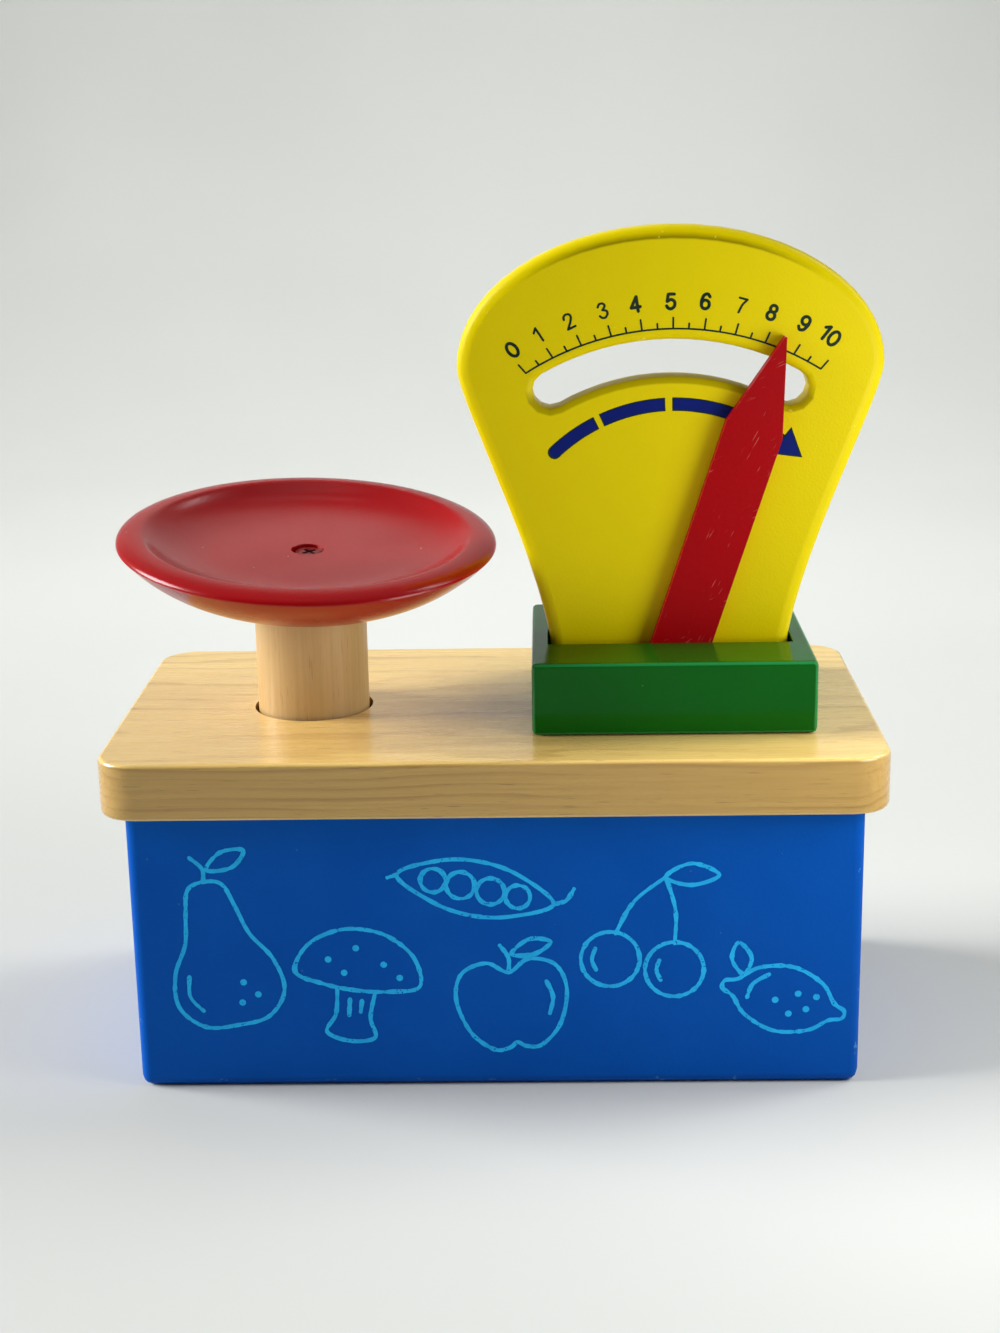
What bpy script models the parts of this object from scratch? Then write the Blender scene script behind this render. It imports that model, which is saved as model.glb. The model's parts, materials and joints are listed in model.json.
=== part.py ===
"""Toy kitchen scale: a painted wooden box under a plain board, a red pan on a sliding post, and a yellow
dial in a green block, with a pointer that a hidden yoke swings as the pan goes down.

Metres, +Z up, +X to the right, front towards -Y. The origin is on the floor under the board's middle.
The pointer stands at the reading of the empty pan.
"""

import math

import bmesh
import bpy
from mathutils import Euler, Matrix, Vector

# Fits
SEAT_GAP = 0.0003  # between faces that are glued, screwed or stood on each other
PIN_GAP = 0.00015  # round a pin, dowel or screw in its hole
RUNNING_GAP = 0.0005  # beside a piece that moves
POST_GAP = 0.001  # round the post in the board, loose as on a toy

# Layout along the board, from its left edge to its right edge
PAN_MARGIN = 0.0003
PAN_TO_BLOCK = 0.0093
BLOCK_MARGIN = 0.017
WORKS_FORWARD = 0.0025  # post and block stand this far in front of the board's middle

# Board
BOARD_DEPTH = 0.110
BOARD_THICK = 0.015
BOARD_CORNER = 0.010
BOARD_EDGE = 0.0012
BOARD_OVERHANG = 0.006

# Box
WALL_HEIGHT = 0.0757
WALL_THICK = 0.009
BOX_EDGE = 0.003
BOTTOM_THICK = 0.009
CORNER_BLOCK_SIDE = 0.014
CORNER_BLOCK_HEIGHT = 0.040
DOWEL_DIAMETER = 0.006
DOWEL_IN_BOARD = 0.008
DOWEL_IN_WALL = 0.012
DOWEL_INSET = 0.015  # from the front and rear walls

# Pan, a turned dish that sits a little askew on its post
PAN_RADIUS = 0.0502
PAN_HEIGHT = 0.0155
PAN_DISH_DEPTH = 0.0053
PAN_FLOOR_RADIUS = 0.030
PAN_RIM_WIDTH = 0.0062
PAN_RIM_DROP = 0.0024  # from the rim's top to the crisp edge, which is the widest circle
PAN_FOOT_RADIUS = 0.0303
PAN_SWELL = 0.0021  # of the underside, out from a straight cone
PAN_RISE = 0.0333  # seat above the board
PAN_TIP_FRONT = math.radians(7.1)
PAN_TIP_RIGHT = math.radians(2.9)
POST_DIAMETER = 0.030

# Block
BLOCK_WIDTH = 0.073
BLOCK_DEPTH = 0.065
BLOCK_HEIGHT = 0.0191
BLOCK_EDGE = 0.0012
BLOCK_FRONT_WALL = 0.020  # wood in front of the slot
BLOCK_SCREW_INSET = 0.0125  # from the block's sides to its screws

# Dial
DIAL_WIDTH = 0.110
DIAL_HEIGHT = 0.1074  # above the block
DIAL_SHOULDER_HEIGHT = 0.072  # of the widest place, above the block
DIAL_SHOULDER_DROP = 0.008
DIAL_FLANK_HEIGHT = 0.0266
DIAL_FLANK_SPREAD = 0.0046
DIAL_FOOT_WIDTH = 0.0632
DIAL_END_PLAY = 0.0006  # between the foot and the slot's ends
DIAL_THICK = 0.010
DIAL_EDGE = 0.003
WINDOW_RADIUS = 0.06398
WINDOW_WIDTH = 0.00945
WINDOW_RISE = 0.0196  # of the window's centre above the pivot
WINDOW_HALF_ANGLE = math.radians(28.8)
WINDOW_EDGE = 0.0015

# Scale
SCALE_SPAN = 10.0
READING = 8.6
SCALE_SWEEP = math.radians(50)
PAN_TRAVEL = 0.012  # from 0 to full scale

# Pointer and the works under it
POINTER_WIDTH = 0.0152
POINTER_LENGTH = 0.0936  # pivot to tip
POINTER_TAPER = 0.025
POINTER_TIP_RADIUS = 0.0003
POINTER_THICK = 0.004
PIVOT_PIN_DIAMETER = 0.004
PIVOT_PIN_SEAT = 0.007  # depth in the block's front wall
CRANK_PIN_DIAMETER = 0.003
CRANK_DROP = math.radians(20)  # of the crank below level at half scale
LUG_RIM = 0.002  # wood round the crank pin
YOKE_THICK = 0.005
YOKE_RIM = 0.003  # round the yoke's slot
ARM_WIDTH = 0.024
ARM_THICK = 0.009
ARM_END = 0.016  # past the post's middle
PEG_DIAMETER = 0.012
SPRING_WIRE = 0.0014
SPRING_CLEARANCE = 0.0012  # between the peg and the spring
SPRING_TURNS = 9
SPRING_POINTS = 9  # per turn

# Wood screws
SCREW_DIAMETER = 0.004
SCREW_HEAD = 0.0082
SCREW_BITE = 0.014  # in the piece that takes the thread
SMALL_SCREW_DIAMETER = 0.0025
SMALL_SCREW_HEAD = 0.005
SMALL_SCREW_BITE = 0.010

# Levels
BOARD_BOTTOM = WALL_HEIGHT + SEAT_GAP
BOARD_TOP = BOARD_BOTTOM + BOARD_THICK
BLOCK_BOTTOM = BOARD_TOP + SEAT_GAP
BLOCK_TOP = BLOCK_BOTTOM + BLOCK_HEIGHT
PIVOT_Z = BLOCK_BOTTOM + BLOCK_HEIGHT / 2
PAN_SEAT_Z = BOARD_TOP + PAN_RISE
PAN_DOWN = PAN_TRAVEL * (1 - READING / SCALE_SPAN)  # left to full scale
PAN_UP = PAN_TRAVEL - PAN_DOWN
ARM_TOP = BOARD_BOTTOM - SEAT_GAP - PAN_UP
ARM_BOTTOM = ARM_TOP - ARM_THICK
PEG_TOP = ARM_BOTTOM - PAN_DOWN - SEAT_GAP

# Plan
BOARD_WIDTH = PAN_MARGIN + 2 * PAN_RADIUS + PAN_TO_BLOCK + BLOCK_WIDTH + BLOCK_MARGIN
BOX_WIDTH = BOARD_WIDTH - 2 * BOARD_OVERHANG
BOX_DEPTH = BOARD_DEPTH - 2 * BOARD_OVERHANG
INSIDE_WIDTH = BOX_WIDTH - 2 * WALL_THICK
INSIDE_DEPTH = BOX_DEPTH - 2 * WALL_THICK
POST_X = -BOARD_WIDTH / 2 + PAN_MARGIN + PAN_RADIUS
DIAL_X = BOARD_WIDTH / 2 - BLOCK_MARGIN - BLOCK_WIDTH / 2
WORKS_Y = -WORKS_FORWARD
BLOCK_FRONT = WORKS_Y - BLOCK_DEPTH / 2
BLOCK_BACK = WORKS_Y + BLOCK_DEPTH / 2
SLOT_FRONT = BLOCK_FRONT + BLOCK_FRONT_WALL
POINTER_FRONT = SLOT_FRONT + RUNNING_GAP
POINTER_BACK = POINTER_FRONT + POINTER_THICK
DIAL_FRONT = POINTER_BACK + RUNNING_GAP
DIAL_BACK = DIAL_FRONT + DIAL_THICK
SLOT_BACK = DIAL_BACK + SEAT_GAP
YOKE_BACK = SLOT_FRONT
YOKE_FRONT = YOKE_BACK - YOKE_THICK
ARM_FRONT = YOKE_BACK + SEAT_GAP
ARM_BACK = ARM_FRONT + ARM_WIDTH
POCKET_FRONT = YOKE_FRONT - RUNNING_GAP

# Crank and yoke: the crank pin rises by the pan's travel while the pointer swings over the scale
HALF_SWEEP = SCALE_SWEEP / 2
POINTER_ANGLE = SCALE_SWEEP * (READING / SCALE_SPAN - 0.5)
CRANK_RADIUS = PAN_TRAVEL / (math.sin(HALF_SWEEP - CRANK_DROP) + math.sin(HALF_SWEEP + CRANK_DROP))
LUG_RADIUS = CRANK_PIN_DIAMETER / 2 + LUG_RIM


def crank_height(angle):
    """The crank pin's height above the pivot with the pointer at this angle from upright."""
    return -CRANK_RADIUS * math.sin(CRANK_DROP + angle)


# The pin's path bows below a straight one by this much at half scale, which the yoke's slot allows for
CRANK_BOW = (crank_height(HALF_SWEEP) + crank_height(-HALF_SWEEP)) / 2 - crank_height(0)
YOKE_SLOT_Z = PIVOT_Z + crank_height(HALF_SWEEP) + PAN_DOWN - CRANK_BOW / 2
YOKE_SLOT_HALF = CRANK_PIN_DIAMETER / 2 + CRANK_BOW / 2 + RUNNING_GAP
YOKE_SLOT_PLAY = CRANK_PIN_DIAMETER / 2 + RUNNING_GAP  # from the pin's middle to the slot's end
YOKE_SLOT_LEFT = DIAL_X + CRANK_RADIUS * math.cos(HALF_SWEEP + CRANK_DROP) - YOKE_SLOT_PLAY
YOKE_SLOT_RIGHT = DIAL_X + CRANK_RADIUS + YOKE_SLOT_PLAY
YOKE_LEFT = YOKE_SLOT_LEFT - YOKE_RIM
YOKE_RIGHT = YOKE_SLOT_RIGHT + YOKE_RIM
YOKE_TOP = YOKE_SLOT_Z + YOKE_SLOT_HALF + YOKE_RIM
POCKET_TOP = YOKE_TOP + PAN_UP + RUNNING_GAP

ROUND_STEPS = 64
SMALL_ROUND_STEPS = 24
PAST = 0.002  # how far a cutter runs past the face it cuts
CORNERS = [(x, y) for y in (-1, 1) for x in (-1, 1)]
EVERY_WAY = [(-1, 0, 0), (1, 0, 0), (0, -1, 0), (0, 1, 0), (0, 0, -1), (0, 0, 1)]

for old in list(bpy.data.objects):
    bpy.data.objects.remove(old, do_unlink=True)


def new_collection(name):
    made = bpy.data.collections.new(name)
    bpy.context.scene.collection.children.link(made)
    return made


PARTS = new_collection("toy_kitchen_scale")
CUTTERS = new_collection("toy_kitchen_scale_cutters")


def finish(name, colour, roughness, metallic=0.0):
    made = bpy.data.materials.new(name)
    made.use_nodes = True
    shader = made.node_tree.nodes["Principled BSDF"]
    shader.inputs["Base Color"].default_value = (*colour, 1.0)
    shader.inputs["Roughness"].default_value = roughness
    shader.inputs["Metallic"].default_value = metallic
    return made


BLUE_PAINT = finish("blue_paint", (0.0, 0.07, 0.33), 0.35)
PLAIN_WOOD = finish("plain_wood", (0.72, 0.49, 0.24), 0.45)
RED_PAINT = finish("red_paint", (0.45, 0.008, 0.012), 0.18)
GREEN_PAINT = finish("green_paint", (0.08, 0.33, 0.03), 0.25)
YELLOW_PAINT = finish("yellow_paint", (0.62, 0.50, 0.0), 0.3)
INNER_WOOD = finish("inner_wood", (0.62, 0.45, 0.27), 0.6)
STEEL = finish("steel", (0.55, 0.55, 0.57), 0.3, 1.0)


def axis_empty(name, location):
    """An empty on a joint's axis, which carries the pieces of one moving body."""
    made = bpy.data.objects.new(name, None)
    made.empty_display_size = POST_DIAMETER
    made.location = location
    PARTS.objects.link(made)
    return made


PAN_AXIS = axis_empty("pan_axis", (POST_X, WORKS_Y, PAN_SEAT_Z))
POINTER_AXIS = axis_empty("pointer_axis", (DIAL_X, POINTER_FRONT + POINTER_THICK / 2, PIVOT_Z))


def add(name, mesh, location, material=None, rotation=None, carrier=None):
    """Adds a piece or, without a material, a cutter. Its location is in the world, also under a carrier."""
    made = bpy.data.objects.new(name, mesh)
    made.location = location
    if rotation:
        made.rotation_euler = rotation
    if carrier:
        made.parent = carrier
        made.matrix_parent_inverse = Matrix.Translation(-carrier.location)
    if material:
        PARTS.objects.link(made)
        mesh.materials.append(material)
        mesh.shade_smooth()
        mesh.set_sharp_from_angle(angle=math.radians(35))
    else:
        CUTTERS.objects.link(made)
        made.hide_render = True
        made.display_type = "WIRE"
    return made


def cut(target, cutter):
    modifier = target.modifiers.new(cutter.name, "BOOLEAN")
    modifier.operation = "DIFFERENCE"
    modifier.solver = "EXACT"
    modifier.object = cutter


def sharp_edges(mesh_edit, angle):
    """The edges whose two faces turn by more than this angle."""
    return [edge for edge in mesh_edit.edges if edge.is_manifold and edge.calc_face_angle() > angle]


def round_edges(mesh_edit, edges, radius, segments):
    bmesh.ops.bevel(mesh_edit, geom=edges, offset=radius, segments=segments, profile=0.5, affect="EDGES")


def box_mesh(name, size, outside=(), radius=0.0, segments=3):
    """A box about its middle, with its edges rounded between faces that look along outside's ways."""
    mesh_edit = bmesh.new()
    bmesh.ops.create_cube(mesh_edit, size=1.0)
    bmesh.ops.scale(mesh_edit, vec=size, verts=mesh_edit.verts)
    mesh_edit.normal_update()
    chosen = [
        edge
        for edge in mesh_edit.edges
        if all(any(face.normal.dot(Vector(way)) > 0.9 for way in outside) for face in edge.link_faces)
    ]
    if chosen:
        round_edges(mesh_edit, chosen, radius, segments)
    mesh = bpy.data.meshes.new(name)
    mesh_edit.to_mesh(mesh)
    mesh_edit.free()
    return mesh


def box(name, low, high, material=None, outside=(), radius=0.0, segments=3, carrier=None):
    low, high = Vector(low), Vector(high)
    mesh = box_mesh(name, high - low, outside, radius, segments)
    return add(name, mesh, (low + high) / 2, material, carrier=carrier)


def rod_mesh(name, radius, length, steps):
    """A cylinder along +Z, from the origin."""
    mesh_edit = bmesh.new()
    bmesh.ops.create_cone(
        mesh_edit, cap_ends=True, segments=steps, radius1=radius, radius2=radius, depth=length,
        matrix=Matrix.Translation((0, 0, length / 2)),
    )
    mesh = bpy.data.meshes.new(name)
    mesh_edit.to_mesh(mesh)
    mesh_edit.free()
    return mesh


def rod(name, start, end, radius, material=None, steps=SMALL_ROUND_STEPS, carrier=None):
    start, end = Vector(start), Vector(end)
    along = end - start
    turn = Vector((0, 0, 1)).rotation_difference(along).to_euler()
    return add(name, rod_mesh(name, radius, along.length, steps), start, material, turn, carrier)


def turned_mesh(name, profile, closed=False):
    """The line that a Screw modifier turns: (radius, height) points, down the outer side."""
    count = len(profile)
    lines = [(i, i + 1) for i in range(count - 1)]
    if closed:
        lines.append((count - 1, 0))
    mesh = bpy.data.meshes.new(name)
    mesh.from_pydata([(radius, 0, height) for radius, height in profile], lines, [])
    return mesh


def turn_round(turned, steps):
    modifier = turned.modifiers.new("turned", "SCREW")
    modifier.axis = "Z"
    modifier.steps = steps
    modifier.render_steps = steps
    modifier.use_merge_vertices = True
    modifier.merge_threshold = 0.00001
    modifier.use_smooth_shade = True


def arc(centre, radius, start, end, count):
    """Points on an arc, with angles from +X towards +Y of the outline."""
    angles = [start + (end - start) * i / count for i in range(count + 1)]
    return [(centre[0] + radius * math.cos(a), centre[1] + radius * math.sin(a)) for a in angles]


def bend(start, start_pull, end_pull, end, count):
    """Points on a cubic curve, without its first one."""
    points = []
    for i in range(1, count + 1):
        t = i / count
        weights = ((1 - t) ** 3, 3 * t * (1 - t) ** 2, 3 * t * t * (1 - t), t**3)
        places = (start, start_pull, end_pull, end)
        points.append(tuple(sum(w * p[axis] for w, p in zip(weights, places)) for axis in (0, 1)))
    return points


def plate_mesh(name, loops, thickness):
    """A flat piece upright in XZ, from closed outlines of (x, z); a loop inside another is a hole."""
    curve = bpy.data.curves.new(name + "_outline", "CURVE")
    curve.dimensions = "2D"
    curve.fill_mode = "BOTH"
    curve.extrude = thickness / 2
    for loop in loops:
        spline = curve.splines.new("POLY")
        spline.points.add(len(loop) - 1)
        for point, (x, z) in zip(spline.points, loop):
            point.co = (x, z, 0, 1)
        spline.use_cyclic_u = True
    guide = bpy.data.objects.new(name + "_outline", curve)
    bpy.context.scene.collection.objects.link(guide)
    graph = bpy.context.evaluated_depsgraph_get()
    mesh = bpy.data.meshes.new_from_object(guide.evaluated_get(graph))
    bpy.data.objects.remove(guide, do_unlink=True)
    mesh_edit = bmesh.new()
    mesh_edit.from_mesh(mesh)
    bmesh.ops.remove_doubles(mesh_edit, verts=mesh_edit.verts, dist=0.000001)
    bmesh.ops.dissolve_limit(
        mesh_edit, angle_limit=math.radians(0.1), verts=mesh_edit.verts, edges=mesh_edit.edges
    )
    bmesh.ops.rotate(mesh_edit, verts=mesh_edit.verts, matrix=Matrix.Rotation(math.pi / 2, 3, "X"))
    bmesh.ops.recalc_face_normals(mesh_edit, faces=mesh_edit.faces)
    mesh_edit.to_mesh(mesh)
    mesh_edit.free()
    mesh.name = name
    return mesh


def screw_profile(diameter, head, length):
    radius, head_radius = diameter / 2, head / 2
    cone = head_radius - radius
    return [(0, 0), (head_radius, 0), (radius, -cone), (radius, diameter - length), (0, -length)]


def screw_hole_profile(diameter, head, length):
    radius, head_radius = diameter / 2 + PIN_GAP, head / 2 + PIN_GAP
    bottom = -length - SEAT_GAP
    head_points = [(0, PAST), (head_radius, PAST), (head_radius, 0)]
    return head_points + [(radius, radius - head_radius), (radius, bottom), (0, bottom)]


def wood_screw(name, surface, way, through, hosts, carrier=None, small=False):
    """A countersunk screw in its holes. It goes in at surface, along way, through the first host."""
    diameter = SMALL_SCREW_DIAMETER if small else SCREW_DIAMETER
    head = SMALL_SCREW_HEAD if small else SCREW_HEAD
    length = through + (SMALL_SCREW_BITE if small else SCREW_BITE)
    way = Vector(way).normalized()
    place = Vector(surface) + way * SEAT_GAP
    turn = Vector((0, 0, -1)).rotation_difference(way).to_euler()
    made = add(name, turned_mesh(name, screw_profile(diameter, head, length)), place, STEEL, turn, carrier)
    turn_round(made, SMALL_ROUND_STEPS)
    hole_mesh = turned_mesh(name + "_hole", screw_hole_profile(diameter, head, length))
    hole = add(name + "_hole", hole_mesh, place, rotation=turn)
    turn_round(hole, SMALL_ROUND_STEPS)
    for host in hosts:
        cut(host, hole)
    return made


def pin(name, start, end, diameter, material, hosts, carrier=None, open_end=0.0):
    """A plain pin or dowel, with a hole round it in each host; open_end runs the hole on past the pin."""
    start, end = Vector(start), Vector(end)
    along = (end - start).normalized()
    made = rod(name, start, end, diameter / 2, material, carrier=carrier)
    hole_start, hole_end = start - along * SEAT_GAP, end + along * (SEAT_GAP + open_end)
    hole = rod(name + "_hole", hole_start, hole_end, diameter / 2 + PIN_GAP)
    for host in hosts:
        cut(host, hole)
    return made


def make_box():
    """The four walls, the bottom between them and the corner blocks that hold it."""
    half_width, half_depth = BOX_WIDTH / 2, BOX_DEPTH / 2
    in_x, in_y = INSIDE_WIDTH / 2, INSIDE_DEPTH / 2
    left, right, down = (-1, 0, 0), (1, 0, 0), (0, 0, -1)
    pieces = {}
    for name, side in (("front_panel", -1), ("rear_panel", 1)):
        near, far = sorted((side * half_depth, side * in_y))
        pieces[name] = box(
            name, (-half_width, near, 0), (half_width, far, WALL_HEIGHT), BLUE_PAINT,
            outside=(left, right, down, (0, side, 0)), radius=BOX_EDGE,
        )
    for name, side in (("left_end_panel", -1), ("right_end_panel", 1)):
        near, far = sorted((side * half_width, side * in_x))
        pieces[name] = box(
            name, (near, SEAT_GAP - in_y, 0), (far, in_y - SEAT_GAP, WALL_HEIGHT), BLUE_PAINT,
            outside=((side, 0, 0), down), radius=BOX_EDGE,
        )
    floor_x, floor_y = in_x - SEAT_GAP, in_y - SEAT_GAP
    bottom = box("bottom_panel", (-floor_x, -floor_y, 0), (floor_x, floor_y, BOTTOM_THICK), INNER_WOOD)
    pieces["bottom_panel"] = bottom
    half = Vector((CORNER_BLOCK_SIDE / 2, CORNER_BLOCK_SIDE / 2, 0))
    corner = Vector((floor_x, floor_y, 0)) - half
    rise = Vector((0, 0, CORNER_BLOCK_HEIGHT))
    for number, (side_x, side_y) in enumerate(CORNERS, 1):
        middle = Vector((side_x * corner.x, side_y * corner.y, BOTTOM_THICK + SEAT_GAP))
        block = box(f"corner_block_{number}", middle - half, middle + half + rise, INNER_WOOD)
        wood_screw(
            f"bottom_screw_{number}", (middle.x, middle.y, 0), (0, 0, 1), BOTTOM_THICK, [bottom, block]
        )
    return pieces


def make_board(walls):
    """The board with the post's hole and the yoke's slot, and its dowels in the end walls."""
    mesh_edit = bmesh.new()
    bmesh.ops.create_cube(mesh_edit, size=1.0)
    bmesh.ops.scale(mesh_edit, vec=(BOARD_WIDTH, BOARD_DEPTH, BOARD_THICK), verts=mesh_edit.verts)
    upright = [e for e in mesh_edit.edges if abs(e.verts[0].co.z - e.verts[1].co.z) > BOARD_THICK / 2]
    round_edges(mesh_edit, upright, BOARD_CORNER, 8)
    round_edges(mesh_edit, sharp_edges(mesh_edit, math.radians(60)), BOARD_EDGE, 2)
    mesh = bpy.data.meshes.new("top_board")
    mesh_edit.to_mesh(mesh)
    mesh_edit.free()
    board = add("top_board", mesh, (0, 0, BOARD_BOTTOM + BOARD_THICK / 2), PLAIN_WOOD)
    hole = rod(
        "post_hole", (POST_X, WORKS_Y, BOARD_BOTTOM - PAST), (POST_X, WORKS_Y, BOARD_TOP + PAST),
        POST_DIAMETER / 2 + POST_GAP, steps=ROUND_STEPS,
    )
    slot = box(
        "yoke_slot", (DIAL_X, POCKET_FRONT, BOARD_BOTTOM - PAST),
        (YOKE_RIGHT + RUNNING_GAP, POINTER_BACK + RUNNING_GAP / 2, BOARD_TOP + PAST),
    )
    cut(board, hole)
    cut(board, slot)
    low, high = BOARD_BOTTOM - DOWEL_IN_WALL, BOARD_BOTTOM + DOWEL_IN_BOARD
    for number, (side_x, side_y) in enumerate(CORNERS, 1):
        x = side_x * (BOX_WIDTH - WALL_THICK) / 2
        y = side_y * (INSIDE_DEPTH / 2 - DOWEL_INSET)
        wall = walls["left_end_panel" if side_x < 0 else "right_end_panel"]
        pin(f"board_dowel_{number}", (x, y, low), (x, y, high), DOWEL_DIAMETER, INNER_WOOD, [wall, board])
    return board


def make_block(board):
    """The slotted block, with a pocket in its front wall for the yoke."""
    left, right = DIAL_X - BLOCK_WIDTH / 2, DIAL_X + BLOCK_WIDTH / 2
    block = box(
        "dial_block", (left, BLOCK_FRONT, BLOCK_BOTTOM), (right, BLOCK_BACK, BLOCK_TOP), GREEN_PAINT,
        outside=EVERY_WAY, radius=BLOCK_EDGE, segments=2,
    )
    below, half_slot = BLOCK_BOTTOM - PAST, DIAL_FOOT_WIDTH / 2 + DIAL_END_PLAY
    slot_end = (DIAL_X + half_slot, SLOT_BACK, BLOCK_TOP + PAST)
    cut(block, box("dial_slot", (DIAL_X - half_slot, SLOT_FRONT, below), slot_end))
    pocket_end = (YOKE_RIGHT + RUNNING_GAP, SLOT_FRONT + RUNNING_GAP, POCKET_TOP)
    cut(block, box("yoke_pocket", (YOKE_LEFT - RUNNING_GAP, POCKET_FRONT, below), pocket_end))
    inset = BLOCK_SCREW_INSET
    places = ((left + inset, BLOCK_FRONT + inset), (right - inset, BLOCK_BACK - inset))
    for number, (x, y) in enumerate(places, 1):
        wood_screw(f"block_screw_{number}", (x, y, BOARD_BOTTOM), (0, 0, 1), BOARD_THICK, [board, block])
    return block


def dial_outline():
    """The dial from the left end of its foot, over the top: (x, z) from its middle and the block's top."""
    half, foot, shoulder = DIAL_WIDTH / 2, DIAL_FOOT_WIDTH / 2, DIAL_SHOULDER_HEIGHT
    foot_corner = (foot, 0)
    right = [(foot, BLOCK_BOTTOM - BLOCK_TOP), foot_corner]
    right += bend(
        foot_corner, (foot + DIAL_FLANK_SPREAD, DIAL_FLANK_HEIGHT), (half, shoulder - DIAL_SHOULDER_DROP),
        (half, shoulder), 12,
    )
    crown = DIAL_HEIGHT - shoulder
    steps = 14
    for i in range(1, steps + 1):
        angle = math.pi / 2 * i / steps
        right.append((half * math.cos(angle), shoulder + crown * math.sin(angle)))
    left = [(-x, z) for x, z in reversed(right[:-1])]
    return right + left


def window_outline():
    """The arc window, from the dial's middle and the block's top."""
    centre = (0, PIVOT_Z + WINDOW_RISE - BLOCK_TOP)
    upright, half = math.pi / 2, WINDOW_WIDTH / 2
    first, last = upright - WINDOW_HALF_ANGLE, upright + WINDOW_HALF_ANGLE
    points = arc(centre, WINDOW_RADIUS + half, first, last, 16)
    for angle, over in ((last, 0), (first, math.pi)):
        end = arc(centre, WINDOW_RADIUS, angle, angle, 1)[0]
        points += arc(end, half, angle + over, angle + over + math.pi, 6)[1:-1]
        if over == 0:
            points += arc(centre, WINDOW_RADIUS - half, last, first, 16)
    return points


def make_dial():
    """The dial plate with soft outer edges and a window through it."""
    mesh = plate_mesh("dial_plate", [dial_outline(), window_outline()], DIAL_THICK)
    mesh_edit = bmesh.new()
    mesh_edit.from_mesh(mesh)
    centre = Vector((0, 0, PIVOT_Z + WINDOW_RISE - BLOCK_TOP))
    window_reach = WINDOW_RADIUS + WINDOW_WIDTH
    window_floor = centre.z + (WINDOW_RADIUS - WINDOW_WIDTH) * math.cos(WINDOW_HALF_ANGLE)

    def at_window(edge):
        middle = (edge.verts[0].co + edge.verts[1].co) / 2
        flat = Vector((middle.x, 0, middle.z))
        inside = abs(flat.x) < window_reach * math.sin(WINDOW_HALF_ANGLE) + WINDOW_WIDTH / 2
        return inside and flat.z > window_floor and (flat - centre).length < window_reach

    rims = sharp_edges(mesh_edit, math.radians(80))
    rims = [e for e in rims if abs(e.verts[0].co.y - e.verts[1].co.y) < DIAL_THICK / 2]
    inner = [e for e in rims if at_window(e)]
    round_edges(mesh_edit, [e for e in rims if e not in inner], DIAL_EDGE, 3)
    round_edges(mesh_edit, inner, WINDOW_EDGE, 2)
    mesh_edit.to_mesh(mesh)
    mesh_edit.free()
    return add("dial_plate", mesh, (DIAL_X, (DIAL_FRONT + DIAL_BACK) / 2, BLOCK_TOP), YELLOW_PAINT)


def pointer_outline():
    """The pointer upright, from its pivot: blade, round foot and the lug that carries the crank pin."""
    half, tip = POINTER_WIDTH / 2, POINTER_TIP_RADIUS
    shoulder = POINTER_LENGTH - POINTER_TAPER
    slope = math.atan2(half - tip, POINTER_TAPER)
    crank = (CRANK_RADIUS * math.cos(CRANK_DROP), -CRANK_RADIUS * math.sin(CRANK_DROP))
    spread = math.acos((half - LUG_RADIUS) / CRANK_RADIUS)
    upper, lower = spread - CRANK_DROP, -spread - CRANK_DROP
    lug = arc(crank, LUG_RADIUS, lower, upper, 8)
    root = (half * math.cos(upper), half * math.sin(upper))
    along = (half - root[0]) / (lug[-1][0] - root[0])
    joint = (half, root[1] + along * (lug[-1][1] - root[1]))
    points = arc((0, 0), half, -math.pi, lower, 8)
    points += lug
    points += [joint, (half, shoulder)]
    points += arc((0, POINTER_LENGTH - tip), tip, slope, math.pi - slope, 4)
    points += [(-half, shoulder)]
    return points


def make_pointer():
    """The pointer at the empty pan's reading, with its crank pin."""
    middle = (DIAL_X, (POINTER_FRONT + POINTER_BACK) / 2, PIVOT_Z)
    mesh = plate_mesh("pointer", [pointer_outline()], POINTER_THICK)
    pointer = add("pointer", mesh, middle, RED_PAINT, Euler((0, POINTER_ANGLE, 0)), POINTER_AXIS)
    x = DIAL_X + CRANK_RADIUS * math.cos(CRANK_DROP + POINTER_ANGLE)
    z = PIVOT_Z + crank_height(POINTER_ANGLE)
    front, back = (x, YOKE_FRONT + SEAT_GAP, z), (x, POINTER_BACK - SEAT_GAP, z)
    pin("crank_pin", front, back, CRANK_PIN_DIAMETER, STEEL, [pointer], POINTER_AXIS, open_end=PAST)
    return pointer


def make_pivot(block, pointer, dial):
    """The pin that the pointer turns on, driven in from the block's back and through the dial's foot."""
    front, back = (DIAL_X, SLOT_FRONT - PIVOT_PIN_SEAT, PIVOT_Z), (DIAL_X, BLOCK_BACK - SEAT_GAP, PIVOT_Z)
    pin("pivot_pin", front, back, PIVOT_PIN_DIAMETER, STEEL, [block, pointer, dial], open_end=PAST)


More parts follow.
